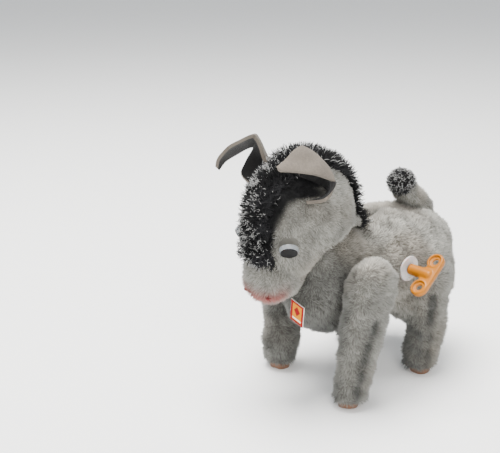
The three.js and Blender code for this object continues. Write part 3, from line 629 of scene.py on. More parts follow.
def metal_material(name, base, roughness):
    material, nodes, links, shader = new_material(name, roughness=roughness, metallic=1.0)
    dull = [channel * 0.7 for channel in base]
    links.new(ramp(nodes, links, noise(nodes, links, 400, 5), ((0.3, dull), (0.7, base))),
              shader.inputs["Base Color"])
    rough = nodes.new("ShaderNodeMapRange")
    rough.inputs["To Min"].default_value = roughness * 0.7
    rough.inputs["To Max"].default_value = roughness * 1.4
    links.new(noise(nodes, links, 900, 4), rough.inputs["Value"])
    links.new(rough.outputs["Result"], shader.inputs["Roughness"])
    return material


# ---------------------------------------------------------------- tints

BACK_FOLD = (
    (-0.5, 2.7, 97.5), (0.7, 12.6, 101.5), (2, 24.4, 103.9),
    (4.9, 33, 104.2), (8.8, 39.7, 103.2), (12.4, 43.5, 101.5),
)
GROOVE_HIND = ((40.5, 32.5, 54), (40.7, 32.3, 42.8), (40.8, 32.2, 32.9), (40.8, 32.3, 22.8), (40.4, 31.8, 8))
GROOVE_SHOULDER = ((26, -10, 96), (30, -2, 84), (29, 4, 70), (27, 6, 56))
GROOVE_CHEST = ((24, -22, 86), (26, -28, 70), (25, -30, 56), (22, -30, 44))
GROOVE_FRONT = (
    (45.9, -24, 54.5), (45.4, -27.8, 43.1), (44.3, -30.6, 29.2), (42.5, -32.8, 13.4), (42, -33, 7),
)


def body_tint(points, normals):
    tone = colours()
    base = blended(np.tile(rgb(tone.plush), (len(points), 1)), rgb(tone.plush_warm),
                   step(wobble(points, 26, 41), -0.4, 1.2) * 0.7)
    # Painted shade: darker underneath, on the chest below the head and on the front faces of the hind legs.
    low = step(points[:, 2], 58, 30) * step(-normals[:, 2], -0.35, 0.5)
    chest = step(points[:, 1], -6, -30) * step(points[:, 2], 98, 74)
    inner = step(points[:, 2], 45, 30) * step(-normals[:, 1], 0.25, 0.8) * step(points[:, 1], 20, 30)
    base = blended(base, rgb(tone.plush_painted_shade), np.clip(0.45 * low + 0.62 * chest + 0.6 * inner, 0, 0.9))
    mirrored = mirrored_x(points)
    # Painted shade: the back beside the fold is darkened with a dimmed warm plush.
    back_fold_shade = near_path(points, BACK_FOLD, 11) * step(normals[:, 2], 0.2, 0.7)
    base = blended(base, rgb(tone.plush_warm) * 0.55, back_fold_shade * 0.8)
    # Painted shade along the back fold, the seams of the hind legs, the shoulders and the chest.
    crease_shade = near_path(points, BACK_FOLD, 3.6) * 1.1
    crease_shade += near_path(mirrored, GROOVE_HIND, 3.2) * 1.6
    crease_shade += near_path(mirrored, GROOVE_SHOULDER, 4.5) * 0.55
    crease_shade += near_path(mirrored, GROOVE_CHEST, 4) * 0.6
    base = blended(base, rgb(tone.plush_painted_shade) * 0.5, np.clip(crease_shade, 0, 0.85))
    return base * (1 + 0.08 * wobble(points, 9, 51) + 0.04 * wobble(points, 3.2, 57))[:, None]


def front_leg_tint(points, normals):
    tone = colours()
    base = np.tile(rgb(tone.plush), (len(points), 1))
    base = blended(base, rgb(tone.plush_warm), step(wobble(points, 22, 43), -0.2, 1.0) * 0.5)
    # Painted shade: darker on the inner and front faces and towards the bottom of the leg.
    inner = step(-normals[:, 1] * 0.4 - np.sign(points[:, 0]) * normals[:, 0], 0.0, 0.8)
    low = step(points[:, 2], 84, 60)
    base = blended(base, rgb(tone.plush_painted_shade), np.clip(0.25 * low + 0.3 * inner, 0, 0.7))
    # Painted shade along the seam down the front leg.
    front_groove_shade = near_path(mirrored_x(points), GROOVE_FRONT, 3.0) * 1.6
    base = blended(base, rgb(tone.plush_painted_shade) * 0.6, np.clip(front_groove_shade, 0, 0.8))
    return base * (1 + 0.08 * wobble(points, 8, 53) + 0.06 * wobble(points, 3, 59))[:, None]


SOOT_HEIGHTS = (95, 100, 110, 121, 130, 134, 142)
SOOT_REACH = (9.5, 10.5, 13, 14.4, 17.2, 20, 18)
NOSE_BAND = ((-13, -71, 74), (-4, -77, 71), (7, -74.5, 70), (14, -68, 71))
BROW_SHADE = ((13.5, -74.5, 104.5), (17, -70.5, 108))
BROW_COLOUR = (0.05, 0.035, 0.03)
UNDER_EAR = ((16, -62, 134), (21, -56, 133), (25, -49, 133))
JAW_FOLD = ((4, -50, 74), (16, -44, 84), (22, -34, 88))


def head_tint(points, normals):
    tone = colours()
    base = np.tile(rgb(tone.plush), (len(points), 1))
    cheek = step(points[:, 2], 104, 84) * step(points[:, 1], -62, -40)
    warm = cheek * 0.8 + 0.3 * step(wobble(points, 20, 47), 0, 1)
    base = blended(base, rgb(tone.plush_warm), np.clip(warm, 0, 0.9))
    mirrored = mirrored_x(points)
    side = mirrored[:, 0]
    nose = near_path(points, NOSE_BAND, 6.2)
    base = blended(base, rgb(tone.blush), nose * 0.9)
    pale = np.exp(-((points[:, 2] - 80) / 7) ** 2) * step(-normals[:, 1], 0.2, 0.8) * (1 - nose)
    base = blended(base, rgb(tone.plush) * 1.15, pale * 0.6)
    reach = np.interp(points[:, 2], SOOT_HEIGHTS, SOOT_REACH) + 0.8 * wobble(points, 6, 63)
    soot = step(side, reach + 2.6, reach - 1.6) * step(points[:, 2], 93, 99) * step(points[:, 1], -38, -46)
    crown = step(side, 12.5, 9.5) * step(points[:, 2], 99, 103)
    under_ear = np.clip(near_path(mirrored, UNDER_EAR, 7) * 1.6, 0, 1) * step(points[:, 2], 127, 129.5)
    soot = np.maximum(np.maximum(soot, crown), under_ear)
    base = blended(base, rgb(tone.soot) * 1.5, np.clip(soot, 0, 1))
    base = blended(base, rgb(BROW_COLOUR), near_path(mirrored, BROW_SHADE, 1.7) * 0.9)
    # Painted shade in the fold between the jaw and the neck.
    base = blended(base, rgb(tone.plush_painted_shade), near_path(mirrored, JAW_FOLD, 4) * 0.4)
    return base * (1 + 0.08 * wobble(points, 8, 61) + 0.06 * wobble(points, 3, 67))[:, None]


def tail_tint(points, normals):
    tone = colours()
    base = blended(np.tile(rgb(tone.plush), (len(points), 1)), rgb(tone.plush_warm),
                   step(wobble(points, 14, 71), -0.3, 1) * 0.6)
    return base * (1 + 0.07 * wobble(points, 5, 73))[:, None]


def mane_tint(points, normals):
    shade = 1 + 0.5 * wobble(points, 9, 79)
    return rgb(colours().soot)[None, :] * np.clip(shade, 0.4, 1.8)[:, None]


def mane_frost(points):
    """Share of pale tips: most on the lower forelock and the crown, few beside the face."""
    edge = 1.5 + (132 - points[:, 2]) * 0.26
    beside = step(points[:, 0], edge + 2.5, edge - 2.5)
    clumps = step(wobble(points, 5, 87), -0.7, 0.9)
    crest = step(points[:, 1], -40, -60) * 0.75
    return 0.08 + (0.72 * beside * clumps) * (0.25 + crest)


def tuft_frost(points):
    return 0.25 + 0.4 * step(wobble(points, 4, 89), -0.8, 0.8)


# ---------------------------------------------------------------- pieces

def backed(obj, tint, material, body, slot, *nodes):
    """Finishes a stuffed skin: smooth, coloured with its own tones and painted shade, and standing for its
    solids.
    """
    smooth(obj)
    dye_and_painted_shade(obj, tint)
    dressed(obj, material, body, slot, *nodes)
    return obj


def comb_body(points):
    flow = np.zeros((len(points), 3))
    flow[:, 1] = 0.22
    flow[:, 2] = -0.22
    return flow


def comb_head(points):
    flow = np.zeros((len(points), 3))
    flow[:, 1] = 0.10
    flow[:, 2] = -0.28
    return flow


def shrunk(balls, depth):
    return [ball(centre, [r - depth for r in radii]) for centre, radii in balls]


def mirrored_path(path):
    return [(-x, y, z) for x, y, z in path]


def clear_of_crank(spots):
    """False where the arms that drive the front legs pass, between body and leg."""
    return (np.hypot(spots[:, 1] + 16, spots[:, 2] - 61) > 12) | (np.abs(spots[:, 0]) > 32)


class DONKEY_OT_body(bpy.types.Operator):
    """Torso and hind legs: one stuffed skin and its pile"""
    bl_idname = "donkey.body"
    bl_label = "Body and hind legs"

    def execute(self, context):
        parts = shrunk(BODY_BALLS, SKIN_DEPTH)
        for _, side in SIDES:
            parts.append(sleeve(HIND_HIP, HIND_FOOT, thinned(HIND_LEG), side))
        skin = melted(joined("body_skin", parts), sizes().skin_voxel, 14)
        dent(skin, BACK_FOLD, 3.4, 1.8)
        dent(skin, [(x + 6, y, z - 1.5) for x, y, z in BACK_FOLD], 4, -1.4)
        for path in (GROOVE_HIND, mirrored_path(GROOVE_HIND)):
            dent(skin, path, 2.8, 1.3)
        dent(skin, ((0, 56, 99), (3, 60, 98)), 5, 1.5)
        ruffle(skin, 16, 0.7, 11)
        ruffle(skin, 6, 0.3, 13)
        shaved(skin, SHAVED_AT)
        material = pile_material("plush_grey", (0.36, 0.35, 0.34))
        backed(skin, body_tint, material, "body", "grey_plush",
               "torso_plush", "hind_leg_left_plush", "hind_leg_right_plush")
        for name, side in SIDES:
            fur = pile(f"body_pile_{name}", skin, material, body_tint, comb_body, 100 + side,
                       keep=lambda spots, side=side: (
                           (spots[:, 0] * side >= 0) & (spots[:, 2] > PILE_FROM) & clear_of_crank(spots)))
            dressed(fur, None, "body", "grey_plush")
        return {"FINISHED"}


class DONKEY_OT_front_legs(bpy.types.Operator):
    """Front legs: a stuffed sleeve each, with its pile"""
    bl_idname = "donkey.front_legs"
    bl_label = "Front legs"

    def execute(self, context):
        material = bpy.data.materials["plush_grey"]
        for name, side in SIDES:
            skin = sleeve(FRONT_HIP, FRONT_FOOT, thinned(FRONT_LEG), side, -REST_SWING * side)
            skin.name = f"front_leg_{name}_skin"
            melted(skin, sizes().skin_voxel, 8)
            path = GROOVE_FRONT if side > 0 else mirrored_path(GROOVE_FRONT)
            dent(skin, path, 2.6, 1.3)
            ruffle(skin, 12, 0.6, 17 + side)
            ruffle(skin, 5, 0.3, 19 + side)
            shaved(skin, SHAVED_AT)
            backed(skin, front_leg_tint, material, f"front_leg_{name}", "grey_plush",
                   f"front_leg_{name}_plush")
            fur = pile(f"front_leg_{name}_pile", skin, material, front_leg_tint, comb_body, 120 + side,
                       keep=lambda spots: (spots[:, 2] > PILE_FROM) & clear_of_crank(spots))
            dressed(fur, None, f"front_leg_{name}", "grey_plush")
        return {"FINISHED"}


class DONKEY_OT_head(bpy.types.Operator):
    """Head, muzzle and neck: one stuffed skin and its pile"""
    bl_idname = "donkey.head"
    bl_label = "Head"

    def execute(self, context):
        skin = joined("head_skin", shrunk(HEAD_BALLS, SKIN_DEPTH))
        melted(skin, sizes().skin_voxel, 12)
        cut(skin, rod((-60, AXLE[1], AXLE[2]), (60, AXLE[1], AXLE[2]), NECK_RADIUS, 96))
        melted(skin, sizes().skin_voxel, 2)
        socket = EYE_FACE - EYE_AXIS * 5.5
        lid = EYE_FACE + EYE_UP * 6.2 - EYE_AXIS * 3
        along = EYE_AXIS.cross(EYE_UP) * 2.5
        for path, width, depth in (
            (BROW_SHADE, 2.2, 1.4),
            ((socket, socket + Vector((0, 0, 0.1))), 6, 0.5),
            ((lid - along, lid + along), 3.2, -2.6),
        ):
            dent(skin, path, width, depth)
            dent(skin, mirrored_path(path), width, depth)
        dent(skin, ((-3, -78, 77), (3, -78, 77)), 5, 0.8)
        ruffle(skin, 14, 0.6, 23)
        material = bpy.data.materials["plush_grey"]
        backed(skin, head_tint, material, "head", "grey_plush", "head_plush")

        def keep(spots):
            clear = np.ones(len(spots), dtype=bool)
            for side in (1, -1):
                axis = np.array((EYE_AXIS.x * side, EYE_AXIS.y, EYE_AXIS.z))
                offset = spots - np.array((EYE_FACE.x * side, EYE_FACE.y, EYE_FACE.z))
                away = offset - (offset @ axis)[:, None] * axis
                clear &= (np.linalg.norm(away, axis=1) > 4.9) | (offset @ axis < -9)
            return clear

        fur = pile("head_pile", skin, material, head_tint, comb_head, 140, keep=keep, length=0.9)
        dressed(fur, None, "head", "grey_plush")
        return {"FINISHED"}


def in_mane(points):
    """True on the strip from the forelock over the crown and down the neck."""
    x, y, z = np.abs(points[:, 0] + 0.9 * wobble(points, 7, 83)), points[:, 1], points[:, 2]
    crest = (x < 9.2 + 3 * step(y, -56, -44)) & (z > 99) & (y > -64)
    forelock = (x < 11 + step(z, 104, 96) * 1.5) & (z > 91.5) & (z < 146) & (y < -56)
    return crest | forelock


class DONKEY_OT_mane(bpy.types.Operator):
    """Curled forelock and mane"""
    bl_idname = "donkey.mane"
    bl_label = "Mane"

    def execute(self, context):
        skin = joined("mane_skin", shrunk(HEAD_BALLS, SKIN_DEPTH - 1.7))
        melted(skin, sizes().skin_voxel, 10)
        points, _ = mesh_arrays(skin)
        inside = in_mane(points)
        pick(skin)
        bpy.ops.object.mode_set(mode="EDIT")
        bpy.ops.mesh.select_all(action="DESELECT")
        bpy.ops.object.mode_set(mode="OBJECT")
        skin.data.vertices.foreach_set("select", ~inside)
        bpy.ops.object.mode_set(mode="EDIT")
        bpy.ops.mesh.select_mode(type="VERT")
        bpy.ops.mesh.delete(type="VERT")
        bpy.ops.mesh.select_all(action="SELECT")
        bpy.ops.object.mode_set(mode="OBJECT")
        material = curl_material("curled_pile")
        apply(skin, "SOLIDIFY", thickness=2.2 * MM, offset=-1)
        smooth(skin)
        dye_and_painted_shade(skin, mane_tint)
        dressed(skin, material, "head", "dark_curl", "mane")
        for name, behind, reach in (("forelock_curls", False, 4.4), ("crest_curls", True, 7.2)):
            locks = curls(name, skin, material, mane_tint, 160, mane_frost, length=reach,
                          keep=lambda spots, behind=behind: (
                              scattered_outside(spots) & ((spots[:, 1] > CREST_FROM) == behind)))
            dressed(locks, None, "head", "dark_curl")
        return {"FINISHED"}


def scattered_outside(spots):
    """True for places on the outer face of the mane's backing."""
    share = np.full(len(spots), 1e9)
    for centre, radii in HEAD_BALLS:
        grown = np.array(radii) + 1.7 - SKIN_DEPTH - 0.9
        share = np.minimum(share, np.linalg.norm((spots - np.array(centre)) / grown, axis=1))
    return share > 1.0


class DONKEY_OT_tail(bpy.types.Operator):
    """Thick plush tail with its curled tuft"""
    bl_idname = "donkey.tail"
    bl_label = "Tail"

    def execute(self, context):
        balls = []
        ways = [Vector(point) for point in TAIL_BEND]
        for i in range(len(ways) - 1):
            for j in range(3):
                share = j / 3
                centre = ways[i].lerp(ways[i + 1], share)
                radius = TAIL_RADII[i] + (TAIL_RADII[i + 1] - TAIL_RADII[i]) * share - SKIN_DEPTH
                balls.append(ball(centre, (radius, radius, radius), 24, 14))
        skin = melted(joined("tail_skin", balls), sizes().skin_voxel * 0.7, 10)
        dent(skin, ((8, 58, 100), (8, 63, 97)), 3, 0.8)
        material = bpy.data.materials["plush_grey"]
        backed(skin, tail_tint, material, "body", "grey_plush", "tail_plush")
        fur = pile("tail_pile", skin, material, tail_tint, comb_head, 180, length=0.85, density=1.2)
        dressed(fur, None, "body", "grey_plush")
        tuft = melted(joined("tail_tuft_skin", [ball(*TUFT)]), sizes().skin_voxel * 0.7, 2)
        curled = bpy.data.materials["curled_pile"]
        smooth(tuft)
        dye_and_painted_shade(tuft, mane_tint)
        dressed(tuft, curled, "body", "dark_curl", "tail_tuft")
        locks = curls("tail_tuft_curls", tuft, curled, mane_tint, 190, tuft_frost, density=1.7, length=2.8,
                      keep=lambda spots: (spots[:, 2] - 112.5) * 0.8 - (spots[:, 1] - 47) * 0.3 > -1.5)
        dressed(locks, None, "body", "dark_curl")
        return {"FINISHED"}


# Rows from the base of an ear to its tip: inner edge, middle and outer edge.
EARS = {
    "left": (
        ((13, -54, 139.5), (23, -42, 131), (22.5, -57.2, 127.3)),
        ((13.2, -54.5, 148), (26, -43.5, 139.5), (31, -52.2, 130.4)),
        ((13.6, -52.6, 154.6), (23.4, -46.4, 147.6), (32, -45.2, 136.6)),
        ((14.2, -55.5, 155.4), (23.2, -49.5, 149.6), (31.4, -46.2, 139.2)),
        ((14.8, -61, 153.9), (22, -57, 149.8), (28.4, -53.3, 142.3)),
        ((16, -67.5, 150.6), (20, -65.5, 148.9), (23.6, -63.2, 145.2)),
        ((16.6, -73.2, 147.6), (18, -73.6, 147.2), (19.2, -73, 146.4)),
    ),
    "right": (
        ((-13, -54, 139.5), (-22, -43, 132), (-25, -54, 126)),
        ((-15, -56.5, 148), (-27, -45, 141), (-34, -56, 132.5)),
        ((-18.5, -58.2, 155.2), (-26, -50, 152.4), (-34.5, -46, 144.2)),
        ((-20.5, -59.8, 156.4), (-28, -52, 153.6), (-36, -47, 146)),
        ((-33, -62, 150), (-38.5, -57, 147), (-43.5, -51, 141.5)),
        ((-43.5, -63, 141.5), (-46.5, -60, 139.5), (-49, -56, 136)),
        ((-50.4, -61.4, 133.4), (-51.2, -60.3, 132.6), (-51.6, -59, 131.6)),
    ),
}
EAR_UNDER = {"left": 1, "right": 0}  # which felt the leaf's own normal meets


def catmull(points, share):
    """A point on the smooth curve through these points."""
    place = share * (len(points) - 1)
    i = min(int(place), len(points) - 2)
    t = place - i
    p = [points[min(max(i + k, 0), len(points) - 1)] for k in (-1, 0, 1, 2)]
    return 0.5 * (2 * p[1] + (p[2] - p[0]) * t + (2 * p[0] - 5 * p[1] + 4 * p[2] - p[3]) * t ** 2
                  + (3 * p[1] - p[0] - 3 * p[2] + p[3]) * t ** 3)


class DONKEY_OT_ears(bpy.types.Operator):
    """Folded felt ears, pale outside and black inside"""
    bl_idname = "donkey.ears"
    bl_label = "Ears"

    def execute(self, context):
        tone = colours()
        outside = felt_material("ear_felt", rgb(tone.felt), rgb(tone.felt) * 0.72)
        inside = felt_material("ear_felt_inside", rgb(tone.felt_inside), rgb(tone.felt_inside) * 0.5)
        for name, rows in EARS.items():
            bpy.ops.mesh.primitive_grid_add(x_subdivisions=16, y_subdivisions=34, size=1, location=(0, 0, 0))
            sheet = bpy.context.object
            sheet.name = f"ear_{name}_felt"
            edges = [[Vector(row[i]) for row in rows] for i in range(3)]
            for vertex in sheet.data.vertices:
                across, along = vertex.co.x + 0.5, vertex.co.y + 0.5
                a, middle, b = (catmull(edge, along) for edge in edges)
                bend = middle * 2 - (a + b) / 2
                point = a * (1 - across) ** 2 + bend * 2 * across * (1 - across) + b * across ** 2
                vertex.co = point * MM
            sheet.data.update()
            ruffle(sheet, 9, 0.35, 37)
            for material in (outside, inside):
                sheet.data.materials.append(material)
            for polygon in sheet.data.polygons:
                polygon.material_index = EAR_UNDER[name]
            apply(sheet, "SOLIDIFY", thickness=sizes().felt_thickness, offset=0,
                  material_offset=1 - 2 * EAR_UNDER[name], material_offset_rim=-EAR_UNDER[name])
            rounded_edges(sheet, 0.45, 2, 50)
            smooth(sheet, 50)
            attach(sheet, "head")
            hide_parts(f"ear_{name}")
        return {"FINISHED"}


def aimed(obj, face, axis):
    """Turns a piece modelled along +Z so that +Z points along an axis, with its origin on a face."""
    turn = Vector(axis).to_track_quat("Z", "Y").to_matrix().to_4x4()
    obj.matrix_world = Matrix.Translation(Vector(face) * MM) @ turn
    return settle(obj)


class DONKEY_OT_eyes(bpy.types.Operator):
    """Moulded eyes: a white cone with a rimmed black face"""
    bl_idname = "donkey.eyes"
    bl_label = "Eyes"

    def execute(self, context):
        tone = colours()
        white = plastic_material("eye_white", rgb(tone.eye), 0.42, subsurface=0.1)
        black = plastic_material("eye_black", rgb(tone.pupil), 0.4, 0.7, specular=0.12)
        for name, side in SIDES:
            face = (EYE_FACE.x * side, EYE_FACE.y, EYE_FACE.z)
            axis = (EYE_AXIS.x * side, EYE_AXIS.y, EYE_AXIS.z)
            bpy.ops.mesh.primitive_cone_add(
                vertices=64, radius1=5.5 * MM, radius2=5.0 * MM, depth=2.6 * MM, location=(0, 0, -1.9 * MM))
            cone = settle(bpy.context.object)
            cone.name = f"eye_{name}_white"
            rounded_edges(cone, 0.5, 4)
            smooth(cone, 40)
            dressed(aimed(cone, face, axis), white, "head", "eye_white", f"eye_{name}")
            bpy.ops.mesh.primitive_cylinder_add(
                vertices=64, radius=4.7 * MM, depth=0.9 * MM, location=(0, 0, -0.45 * MM))
            disc = settle(bpy.context.object)
            disc.name = f"pupil_{name}_disc"
            pick_faces(disc, lambda polygon: polygon.normal.z > 0.9)
            bpy.ops.mesh.inset(thickness=0.55 * MM)
            bpy.ops.transform.translate(value=(0, 0, -0.22 * MM))
            bpy.ops.mesh.inset(thickness=0.5 * MM)
            bpy.ops.object.mode_set(mode="OBJECT")
            rounded_edges(disc, 0.12, 3)
            smooth(disc, 40)
            dressed(aimed(disc, face, axis), black, "head", "eye_black", f"pupil_{name}")
        return {"FINISHED"}


class DONKEY_OT_nose(bpy.types.Operator):
    """Sewn nostril knots"""
    bl_idname = "donkey.nose"
    bl_label = "Nostril stitches"

    def execute(self, context):
        thread = felt_material("red_thread", (0.20, 0.02, 0.02), (0.08, 0.01, 0.01))
        for name, side in SIDES:
            x, y, z = NOSTRIL
            ends = ((2.6, 0.9), (-2.4, 1.1), (1.8, -1.6), (-1.9, -1.4), (0.3, 2.2))
            parts = [ball((x * side, y - 1.9, z), (1.5, 1.1, 1.1), 20, 12)]
            for across, up in ends:
                start = Vector((x * side, y - 2.2, z))
                finish = Vector((x * side + across, y - 1.2 + abs(across) * 0.25, z + up))
                parts.append(rod(start, finish, 0.33, 10))
            knot = joined(f"nostril_knot_{name}", parts)
            pick(knot)
            bpy.ops.transform.resize(value=(0.8, 0.8, 0.8), center_override=at(x * side, y - 1.2, z))
            settle(knot)
            melted(knot, 0.00018, 3)
            smooth(knot)
            dressed(knot, thread, "head", "thread", f"nostril_stitch_{name}")
        return {"FINISHED"}


class DONKEY_OT_hooves(bpy.types.Operator):
    """Tan soles under the four legs"""
    bl_idname = "donkey.hooves"
    bl_label = "Hooves"

    def execute(self, context):
        tone = colours()
        tan = felt_material("hoof_tan", rgb(tone.hoof), rgb(tone.hoof) * 0.45, roughness=0.6)
        for name, side in SIDES:
            swing = -REST_SWING * side * AXLE[2]
            for leg, (x, y), body in (
                ("front", (FRONT_FOOT[0] * side, FRONT_FOOT[1] + swing), f"front_leg_{name}"),
                ("hind", (HIND_FOOT[0] * side, HIND_FOOT[1]), "body"),
            ):
                bpy.ops.mesh.primitive_cylinder_add(
                    vertices=40, radius=6.6 * MM, depth=5.4 * MM, location=at(x, y, 2.7))
                sole = settle(bpy.context.object)
                sole.name = f"{leg}_hoof_{name}_sole"
                pick_faces(sole, lambda polygon: polygon.normal.z < -0.9)
                bpy.ops.transform.resize(value=(0.88, 0.88, 1), center_override=at(x, y, 0))
                bpy.ops.object.mode_set(mode="OBJECT")
                rounded_edges(sole, 0.7, 3, 40)
                apply(sole, "SUBSURF", levels=1, render_levels=1)
                ruffle(sole, 5, 0.25, 31)
                points, _ = mesh_arrays(sole)
                points[:, 2] = np.where(points[:, 2] < 0.35, 0.0, points[:, 2])
                place_points(sole, points)
                smooth(sole, 45)
                dressed(sole, tan, body, "hoof", f"{leg}_hoof_{name}")
        return {"FINISHED"}


KEY_TILT = math.radians(42)
LOBE = 9.2  # from the key's middle to the middle of each eye
BOW = 48.1  # from the toy's middle to the middle of the eyes
SHAFT_FROM, SHAFT_TO = 35.1, 49.4
SHAFT_RADIUS = 3.3
EYE_RADIUS, EYE_HOLE, EYE_RECESS = 5.2, 1.9, 3.7
BOW_HALF = 1.6


class DONKEY_OT_key(bpy.types.Operator):
    """Winding key with two pierced eyes, and the washer under it"""
    bl_idname = "donkey.key"
    bl_label = "Winding key"

    def execute(self, context):
        tone = colours()
        orange = plastic_material("key_plastic", rgb(tone.key), 0.42, 0.9, specular=0.25)
        parts = [rod((SHAFT_FROM, 0, 0), (SHAFT_TO, 0, 0), SHAFT_RADIUS)]
        parts.append(ball((SHAFT_TO, 0, 0), (2.4, SHAFT_RADIUS, SHAFT_RADIUS), 40, 24))
        for place in (LOBE, -LOBE):
            parts.append(rod((BOW, place, -BOW_HALF), (BOW, place, BOW_HALF), EYE_RADIUS, 64))
        parts.append(block((BOW - 1.6, -LOBE, -BOW_HALF), (BOW + EYE_RADIUS, LOBE, BOW_HALF)))
        bpy.ops.mesh.primitive_cylinder_add(
            vertices=3, radius=9.4 * MM, depth=3.0 * MM, location=at(47.2, 0, 0))
        web = bpy.context.object
        web.rotation_euler = (0, 0, math.radians(90))
        web.scale = (1.15, 0.82, 1)
        parts.append(settle(web))
        key = melted(joined("winding_key_moulding", parts), 0.00032, 5)
        for place in (LOBE, -LOBE):
            cut(key, rod((BOW, place, -4), (BOW, place, 4), EYE_HOLE, 40))
            for face in (1, -1):
                cut(key, rod((BOW, place, 0.75 * face), (BOW, place, 4 * face), EYE_RECESS, 48))
        for place in (LOBE, -LOBE):
            for face in (1, -1):
                bpy.ops.mesh.primitive_torus_add(
                    major_radius=4.1 * MM, minor_radius=0.42 * MM, major_segments=56, minor_segments=12,
                    location=at(BOW, place, 1.52 * face))
                key = joined("winding_key_moulding", [key, settle(bpy.context.object)])
        melted(key, 0.00030, 3)
        smooth(key)
        key.matrix_world = Matrix.Translation(at(0, KEY[1], KEY[2])) @ Matrix.Rotation(KEY_TILT, 4, "X")
        dressed(settle(key), orange, "winding", "key_plastic", "winding_key")

        milky = plastic_material("washer_plastic", rgb(tone.washer), 0.45, 0.9, subsurface=0.35)
        washer = rod((33.4, KEY[1], KEY[2]), (34.7, KEY[1], KEY[2]), 7.6, 72)
        cut(washer, rod((30, KEY[1], KEY[2]), (40, KEY[1], KEY[2]), 2.0, 40))
        washer.name = "key_washer_disc"
        rounded_edges(washer, 0.35, 3)
        smooth(washer, 40)
        dressed(washer, milky, "body", "washer_plastic", "key_washer")
        return {"FINISHED"}


TAG_PLACE = Vector((9.5, -50.4, 57.2))
TAG_ACROSS = Vector((10.1, 0.65, -3.07)).normalized()
TAG_OUT = Vector((-0.01, -0.973, -0.23)).normalized()


class DONKEY_OT_tag(bpy.types.Operator):
    """Small printed card on the chest with a plain diamond on it"""
    bl_idname = "donkey.tag"
    bl_label = "Chest tag"

    def execute(self, context):
        tone = colours()
        card = plastic_material("tag_card", (0.75, 0.72, 0.66), 0.8, specular=0.1)
        red = plastic_material("tag_red", rgb(tone.tag_red), 0.8, specular=0.1)
        yellow = plastic_material("tag_yellow", rgb(tone.tag_yellow), 0.8, specular=0.1)
        tag = block((-5.3, -8, -0.25), (5.3, 8, 0.25))
        tag.name = "chest_tag_card"
        for material in (card, red, yellow):
            tag.data.materials.append(material)
        rounded_edges(tag, 0.12, 2)
        top = max(tag.data.polygons, key=lambda polygon: polygon.normal.z * polygon.area).index
        pick_faces(tag, lambda polygon: polygon.index == top)
        tag.active_material_index = 1
        bpy.ops.object.material_slot_assign()
        bpy.ops.mesh.inset(thickness=1.6 * MM)
        tag.active_material_index = 2
        bpy.ops.object.material_slot_assign()
        bpy.ops.object.mode_set(mode="OBJECT")
        bpy.ops.mesh.primitive_cylinder_add(
            vertices=4, radius=2.7 * MM, depth=0.1 * MM, location=at(0, 1.4, 0.28))
        diamond = bpy.context.object
        diamond.scale = (0.9, 1.35, 1)
        diamond.data.materials.append(red)
        settle(diamond)
        stripe = block((-3.4, -5.6, 0.24), (3.4, -4.4, 0.3))
        stripe.data.materials.append(card)
        tag = joined("chest_tag_card", [tag, diamond, stripe])
        up = TAG_OUT.cross(TAG_ACROSS).normalized()
        turn = Matrix((TAG_ACROSS, up, TAG_ACROSS.cross(up))).transposed().to_4x4()
        tag.matrix_world = Matrix.Translation(TAG_PLACE * MM) @ turn
        smooth(settle(tag), 30)
        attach(tag, "body")
        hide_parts("chest_tag")
        return {"FINISHED"}


class DONKEY_OT_movement(bpy.types.Operator):
    """Finishes of the movement and the stiff cores inside"""
    bl_idname = "donkey.movement"
    bl_label = "Movement and cores"

    def execute(self, context):
        finishes = {
            "steel": metal_material("movement_steel", (0.52, 0.53, 0.54), 0.34),
            "brass": metal_material("movement_brass", (0.74, 0.55, 0.22), 0.30),
            "filling": felt_material("fibre_filling", (0.78, 0.76, 0.70), (0.55, 0.53, 0.48)),
            "moulding": plastic_material("head_moulding", (0.80, 0.78, 0.72), 0.5),
        }
        for part in frame["record"]["subparts"]:
            finish = finishes.get(part["material_slot"])
            if finish is None:
                continue
            obj = frame["nodes"][part["node"]]
            for slot in obj.material_slots:
                slot.material = finish
        return {"FINISHED"}


ROOM_LIGHT = 0.85
CAMERA_PLACE = (354.7, -375.4, 265.0)
CAMERA_LOOK = (-0.766, 0.643)
CAMERA_PITCH = math.radians(18.2)
CAMERA_LENS = 64.8


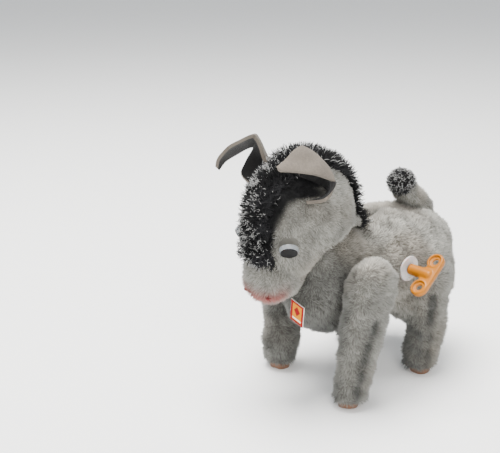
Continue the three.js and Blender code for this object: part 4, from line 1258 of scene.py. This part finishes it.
class DONKEY_OT_stage(bpy.types.Operator):
    """Pale floor, soft lights and the camera"""
    bl_idname = "donkey.stage"
    bl_label = "Stage"

    def execute(self, context):
        bpy.ops.mesh.primitive_plane_add(size=6, location=(-0.4, 0.4, 0))
        floor = bpy.context.object
        floor.name = "stage_floor"
        material, _, _, shader = new_material("stage_paper", roughness=0.7, specular=0.25)
        shader.inputs["Base Color"].default_value = (0.94, 0.94, 0.93, 1)
        floor.data.materials.append(material)

        world = bpy.data.worlds.new("soft_room")
        context.scene.world = world
        world.use_nodes = True
        world.node_tree.nodes["Background"].inputs["Color"].default_value = (0.94, 0.97, 1.0, 1)
        world.node_tree.nodes["Background"].inputs["Strength"].default_value = ROOM_LIGHT

        def lamp(name, place, target, size, power, tint):
            light = bpy.data.lights.new(name, "AREA")
            light.shape = "DISK"
            light.size = size
            light.energy = power
            light.color = tint
            obj = bpy.data.objects.new(name, light)
            context.scene.collection.objects.link(obj)
            obj.location = place
            obj.rotation_euler = (Vector(target) - Vector(place)).to_track_quat("-Z", "Y").to_euler()

        lamp("top_light", (-0.15, -0.1, 1.25), (0, 0, 0.05), 0.8, 50, (1.0, 0.985, 0.96))
        lamp("front_light", (0.9, -0.55, 0.75), (0, 0, 0.08), 0.8, 11, (1.0, 0.98, 0.95))
        lamp("side_light", (-0.7, -0.7, 0.6), (0, 0, 0.08), 0.7, 4, (0.95, 0.98, 1.0))

        data = bpy.data.cameras.new("view")
        data.lens = CAMERA_LENS
        data.sensor_width = 36
        data.clip_start = 0.02
        camera = bpy.data.objects.new("view", data)
        context.scene.collection.objects.link(camera)
        camera.location = Vector(CAMERA_PLACE) * MM
        flat = math.cos(CAMERA_PITCH)
        look = Vector((CAMERA_LOOK[0] * flat, CAMERA_LOOK[1] * flat, -math.sin(CAMERA_PITCH)))
        camera.rotation_euler = look.to_track_quat("-Z", "Y").to_euler()
        context.scene.camera = camera
        return {"FINISHED"}


class DONKEY_PT_panel(bpy.types.Panel):
    bl_idname = "DONKEY_PT_panel"
    bl_label = "Clockwork plush donkey"
    bl_space_type = "VIEW_3D"
    bl_region_type = "UI"
    bl_category = "Donkey"

    def draw(self, context):
        for operator in OPERATORS:
            self.layout.operator(operator.bl_idname)
        for group in (context.scene.donkey_sizes, context.scene.donkey_colours):
            for name in group.bl_rna.properties.keys():
                if name not in ("rna_type", "name"):
                    self.layout.prop(group, name)


OPERATORS = (
    DONKEY_OT_stage, DONKEY_OT_body, DONKEY_OT_front_legs, DONKEY_OT_head, DONKEY_OT_mane, DONKEY_OT_tail,
    DONKEY_OT_ears, DONKEY_OT_eyes, DONKEY_OT_nose, DONKEY_OT_hooves, DONKEY_OT_key, DONKEY_OT_tag,
    DONKEY_OT_movement,
)
CLASSES = (DonkeySizes, DonkeyColours, *OPERATORS, DONKEY_PT_panel)


def register():
    for cls in CLASSES:
        bpy.utils.register_class(cls)
    bpy.types.Scene.donkey_sizes = PointerProperty(type=DonkeySizes)
    bpy.types.Scene.donkey_colours = PointerProperty(type=DonkeyColours)


def unregister():
    del bpy.types.Scene.donkey_colours
    del bpy.types.Scene.donkey_sizes
    for cls in reversed(CLASSES):
        bpy.utils.unregister_class(cls)


def main():
    register()
    for operator in OPERATORS:
        group, name = operator.bl_idname.split(".")
        getattr(getattr(bpy.ops, group), name)()


if __name__ == "__main__":
    main()
